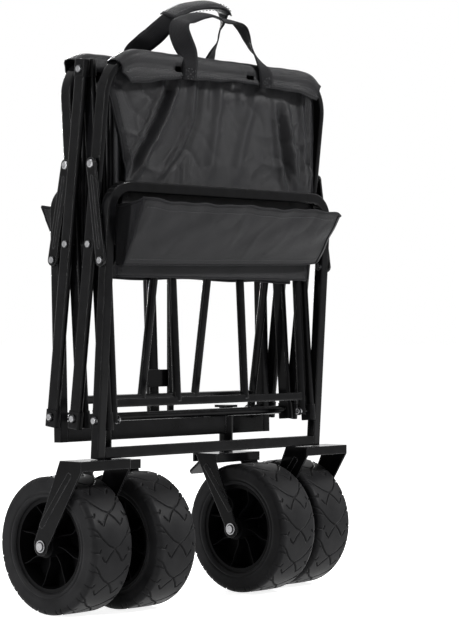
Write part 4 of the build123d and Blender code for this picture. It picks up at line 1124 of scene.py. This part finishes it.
def side_grid(side):
    u = steps(0, 1, PLEATS * COLUMNS_PER_PLEAT + 1)
    phase = 2 * math.pi * PLEATS * u
    grid = []
    for k, level in enumerate(steps(SIDE_TOP, SIDE_LOW, SIDE_ROWS)):
        swing = np.arcsin(0.96 * np.sin(phase + 0.25 * math.sin(k / 5.0))) / 1.29
        depth = (PLEAT_OUT - PLEAT_IN) / 2 * (0.93 + 0.07 * np.sin(7 * u + k / 6.0))
        x = (PLEAT_IN + PLEAT_OUT) / 2 + depth * swing
        y = REAR_WALL_Y + 4.5 + (FRONT_WALL_Y - REAR_WALL_Y - 8.5) * u
        grid.append(np.column_stack([side * x, y, level + 0.8 * np.sin(phase)]))
    return np.array(grid)


side_cloths = surface("side_cloth_pleats", [side_grid(-1), side_grid(1)], TUB_CLOTH, thick=0.9)
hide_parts("side_cloths")
SIDE_MIDDLE = 650
REAR_SIDE = tuple(float(v) for v in spot((0, REAR_WALL_Y + 3, SIDE_MIDDLE)))
FRONT_SIDE = tuple(float(v) for v in spot((0, FRONT_WALL_Y - 3, SIDE_MIDDLE)))
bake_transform(side_cloths)
print("pleats", PLEATS)

# %% [markdown]
# The tub's floor cloth lies in two halves against the folded floor frame. Only its
# lower edge shows below the pocket. A flat rectangle would do behind it, but the edge
# that shows is uneven, so each half is a bound panel that sags a little.

# %% Floor cloths
FLOOR_HALF = 184
# For each end, the (y, z) of the panel's lower and of its upper edge.
FLOOR_LINES = {"rear": ((0.6, 490.0), (5.4, 575.0)), "front": ((73.8, 490.0), (61.6, 575.0))}
for end, ((y_low, z_low), (y_top, z_top)) in FLOOR_LINES.items():
    u, v = np.meshgrid(steps(-FLOOR_HALF, FLOOR_HALF, 80), steps(1, 0, 22))
    low_edge = 1.6 * np.sin(u / 34 + (end == "front")) - 4.0 * (u / FLOOR_HALF - 0.1) * (end == "rear")
    y = y_low + (y_top - y_low) * v + 0.9 * np.sin(u / 15 + v * 3) * np.sin(math.pi * v) + 0.4 * np.sin(u / 6)
    z = z_low + 5 + (z_top - z_low - 6) * v + low_edge * (1 - v)
    grid = np.stack([u, y, z], axis=2)
    piece = surface(f"{end}_floor_panel", grid, TUB_CLOTH, thick=1.6)
    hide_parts(f"{end}_floor_cloth")
    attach(piece, f"{end}_floor_sheet")
    edges = [tube(grid[-1], 1.8), tube(grid[:, 0], 1.6), tube(grid[:, -1], 1.6)]
    binding = surface(f"{end}_floor_binding", edges, HEM_TAPE, wrap=True)
    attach(binding, f"{end}_floor_sheet")
print("floor panels", len(FLOOR_LINES))

# %% [markdown]
# Two loops of webbing lift the wagon when it is folded. A curve with a flat bevel would
# turn its width wherever the curve bends. Real webbing keeps its width and twists
# slowly between its two sewn ends. So each loop is a ribbon: a smooth middle line with
# a width direction at every point, both passed through a few chosen places.

# %% Course of the webbing loops
WEB_HALF = 15.0
WEB_THICK = 2.0


def squared(line, widths):
    """Unit vectors across a line, nearest to widths, and at right angles to line and width."""
    way = np.gradient(line, axis=0)
    way /= np.linalg.norm(way, axis=1)[:, None]
    across = widths - way * (widths * way).sum(axis=1)[:, None]
    across /= np.linalg.norm(across, axis=1)[:, None]
    return across, np.cross(way, across)


def ribbon(centres, widths, count):
    """Rows along a webbing loop, seven columns across it."""
    line = through(centres, count)
    across, up = squared(line, through(widths, count))
    parts = steps(-1, 1, 7)
    cup = 0.8 * parts ** 2
    flat_row = WEB_HALF * parts[None, :, None] * across[:, None]
    return line[:, None] + flat_row + cup[None, :, None] * up[:, None]


# Each key is a point of the middle line and the direction of the width there.
REAR_LOOP = [((-83, -33.5, 790), (15, 0, 0)), ((-83, -34.2, 803), (15, 0, 0)),
             ((-83, -34.6, 815), (15, -1, 1)), ((-86, -32, 831), (13, -6, 2)),
             ((-90, -25, 848), (9, -11, 1)), ((-86, -14, 866), (4, -13, -2)),
             ((-74, -6, 880), (1, -14, -4)), ((-52, -1, 888), (0, -14, -6)),
             ((-26, 1, 896), (0, -14, -5)), ((0, 2, 900), (0, -14, -4)), ((20, 2, 895), (0, -14, -6)),
             ((38, 1, 894), (0, -14, -5)), ((54, -1, 894), (-1, -14, -4)),
             ((67, -5, 884), (-4, -13, -1)), ((71, -13, 867), (-7, -12, 0)),
             ((72, -22, 849), (-11, -10, 0)), ((79, -29, 831), (-13, -6, 0)),
             ((86, -34, 816), (-15, -1, 0)), ((90, -34.6, 803), (-15, 0, 0)),
             ((91, -33.5, 792), (-15, 0, 0))]
FRONT_LOOP = [((-71, 100, 806), (15, 0, 0)), ((-72, 100.5, 822), (15, 0, 0)),
              ((-76, 93, 840), (12, -8, 0)), ((-66, 80, 856), (13, -7, -2)),
              ((-50, 73, 870), (12, -8, -5)), ((-36, 66, 886), (7, -12, -5)),
              ((-24, 60, 902), (1, -15, -4)), ((2, 55, 915), (0, -15, -4)),
              ((30, 49, 922), (0, -15, -4)), ((56, 45, 924), (0, -15, -4)),
              ((74, 46, 918), (-4, -14, -2)), ((82, 52, 903), (-8, -12, 0)),
              ((85, 60, 888), (-10, -10, 0)), ((88, 68, 872), (-10, -10, 0)),
              ((88, 80, 855), (-13, -8, 0)), ((93, 94, 838), (-15, -3, 0)),
              ((97, 100.5, 822), (-15, 0, 0)), ((98, 100, 806), (-15, 0, 0))]
print("keys", len(REAR_LOOP), len(FRONT_LOOP))

# %% [markdown]
# Each end of a loop is sewn down with a box of stitches and a cross inside it, which
# spreads the load. Webbing also has a thick woven edge, its selvage. A texture could
# draw both, but they stand proud, so they are pieces of their own.

# %% Webbing loops
LOOP_ROWS = 150


def loop_piece(end, keys, way):
    grid = ribbon([k[0] for k in keys], [k[1] for k in keys], LOOP_ROWS)
    piece = surface(f"{end}_carry_loop", grid, WEBBING, thick=WEB_THICK)
    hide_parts(f"{end}_carry_strap")
    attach(piece, f"{end}_rim")
    seams = []
    for rows in (slice(1, 11), slice(-11, -1)):
        patch = grid[rows] + (0, way * 1.5, 0)
        seams += [patch[:, 1], patch[:, 5], patch[0, 1:6], patch[-1, 1:6],
                  np.linspace(patch[0, 1], patch[-1, 5], 8), np.linspace(patch[0, 5], patch[-1, 1], 8)]
    thread = stitches(f"{end}_loop_stitching", seams, THREAD)
    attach(thread, f"{end}_rim")
    edges = [tube(grid[:, 0], 1.1, 6), tube(grid[:, -1], 1.1, 6)]
    selvage = surface(f"{end}_loop_selvage", edges, WEBBING, wrap=True)
    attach(selvage, f"{end}_rim")
    return grid


rear_loop = loop_piece("rear", REAR_LOOP, -1)
front_loop = loop_piece("front", FRONT_LOOP, 1)
for label, loop in (("rear", rear_loop), ("front", front_loop)):
    print(label, "loop", round(float(np.linalg.norm(np.diff(loop[:, 3], axis=0), axis=1).sum())), "mm long")

# %% [markdown]
# The front loop carries a padded wrap to hold it by: a flat pad folded round the
# webbing and closed along one edge. Cloth simulation would inflate it, but it is thin
# and sewn tight, so it keeps to the loop's course. It is a crowned oval section swept
# along the loop, thinner at both ends, with piping along both edges and stitches along
# the closed one.

# %% Padded wrap
WRAP_LINE = [(-30, 63, 899), (-22, 60, 905), (2, 55, 915.5), (30, 49, 922), (56, 45, 924), (72, 45.5, 920),
             (78, 47, 916)]
WRAP_ROWS, WRAP_COLUMNS = 60, 28
WRAP_ACROSS = (0.1, 0.94, 0.3)
WRAP_HALF, WRAP_SWELL = 15.6, 3.2
WRAP_THICK, WRAP_CROWN = 1.9, 3.6
WRAP_EDGE = 19.2
WRAP_SEAM = 15


def shrunk(row, share):
    """A row of points drawn in towards its middle."""
    middle = row.mean(axis=0)
    return middle + (row - middle) * share


def wrap_grid():
    """The wrap's rows with both ends closed, its middle line, and the ways across and up."""
    line = through(WRAP_LINE, WRAP_ROWS)
    across, up = squared(line, np.array([WRAP_ACROSS] * WRAP_ROWS))
    t = steps(0, 1, WRAP_ROWS)
    swell = np.clip(np.minimum(t, 1 - t) / 0.06, 0, 1) ** 0.5
    a = np.arange(WRAP_COLUMNS) / WRAP_COLUMNS * 2 * math.pi
    c, s = np.cos(a), np.sin(a)
    flat_c = np.sign(c) * np.abs(c) ** 0.75
    rows = []
    for k in range(WRAP_ROWS):
        wide = WRAP_HALF + WRAP_SWELL * swell[k] + 0.5 * math.sin(t[k] * 17)
        high = WRAP_THICK + WRAP_CROWN * swell[k] + 0.4 * math.sin(t[k] * 23 + 1)
        rows.append(line[k] + wide * flat_c[:, None] * across[k] + high * s[:, None] * up[k])
    starts = [shrunk(rows[0], share) for share in (0.02, 0.6)]
    ends = [shrunk(rows[-1], share) for share in (0.6, 0.02)]
    return np.array(starts + rows + ends), line, across, up


wrap_rows, wrap_line, wrap_across, wrap_up = wrap_grid()
wrap_piece = surface("strap_padded_wrap", wrap_rows, TUB_CLOTH, wrap=True)
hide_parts("strap_grip_wrap")
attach(wrap_piece, "front_rim")
edges = [tube(wrap_line + side * wrap_across * WRAP_EDGE, 1.2) for side in (-1, 1)]
wrap_edge = surface("strap_wrap_edging", edges, HEM_TAPE, wrap=True)
seam = wrap_line - wrap_across * WRAP_SEAM
wrap_thread = stitches("strap_wrap_stitching", [seam + wrap_up * 5.2, seam - wrap_up * 5.2], THREAD)
for trim in (wrap_edge, wrap_thread):
    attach(trim, "front_rim")
print("wrap", wrap_rows.shape)
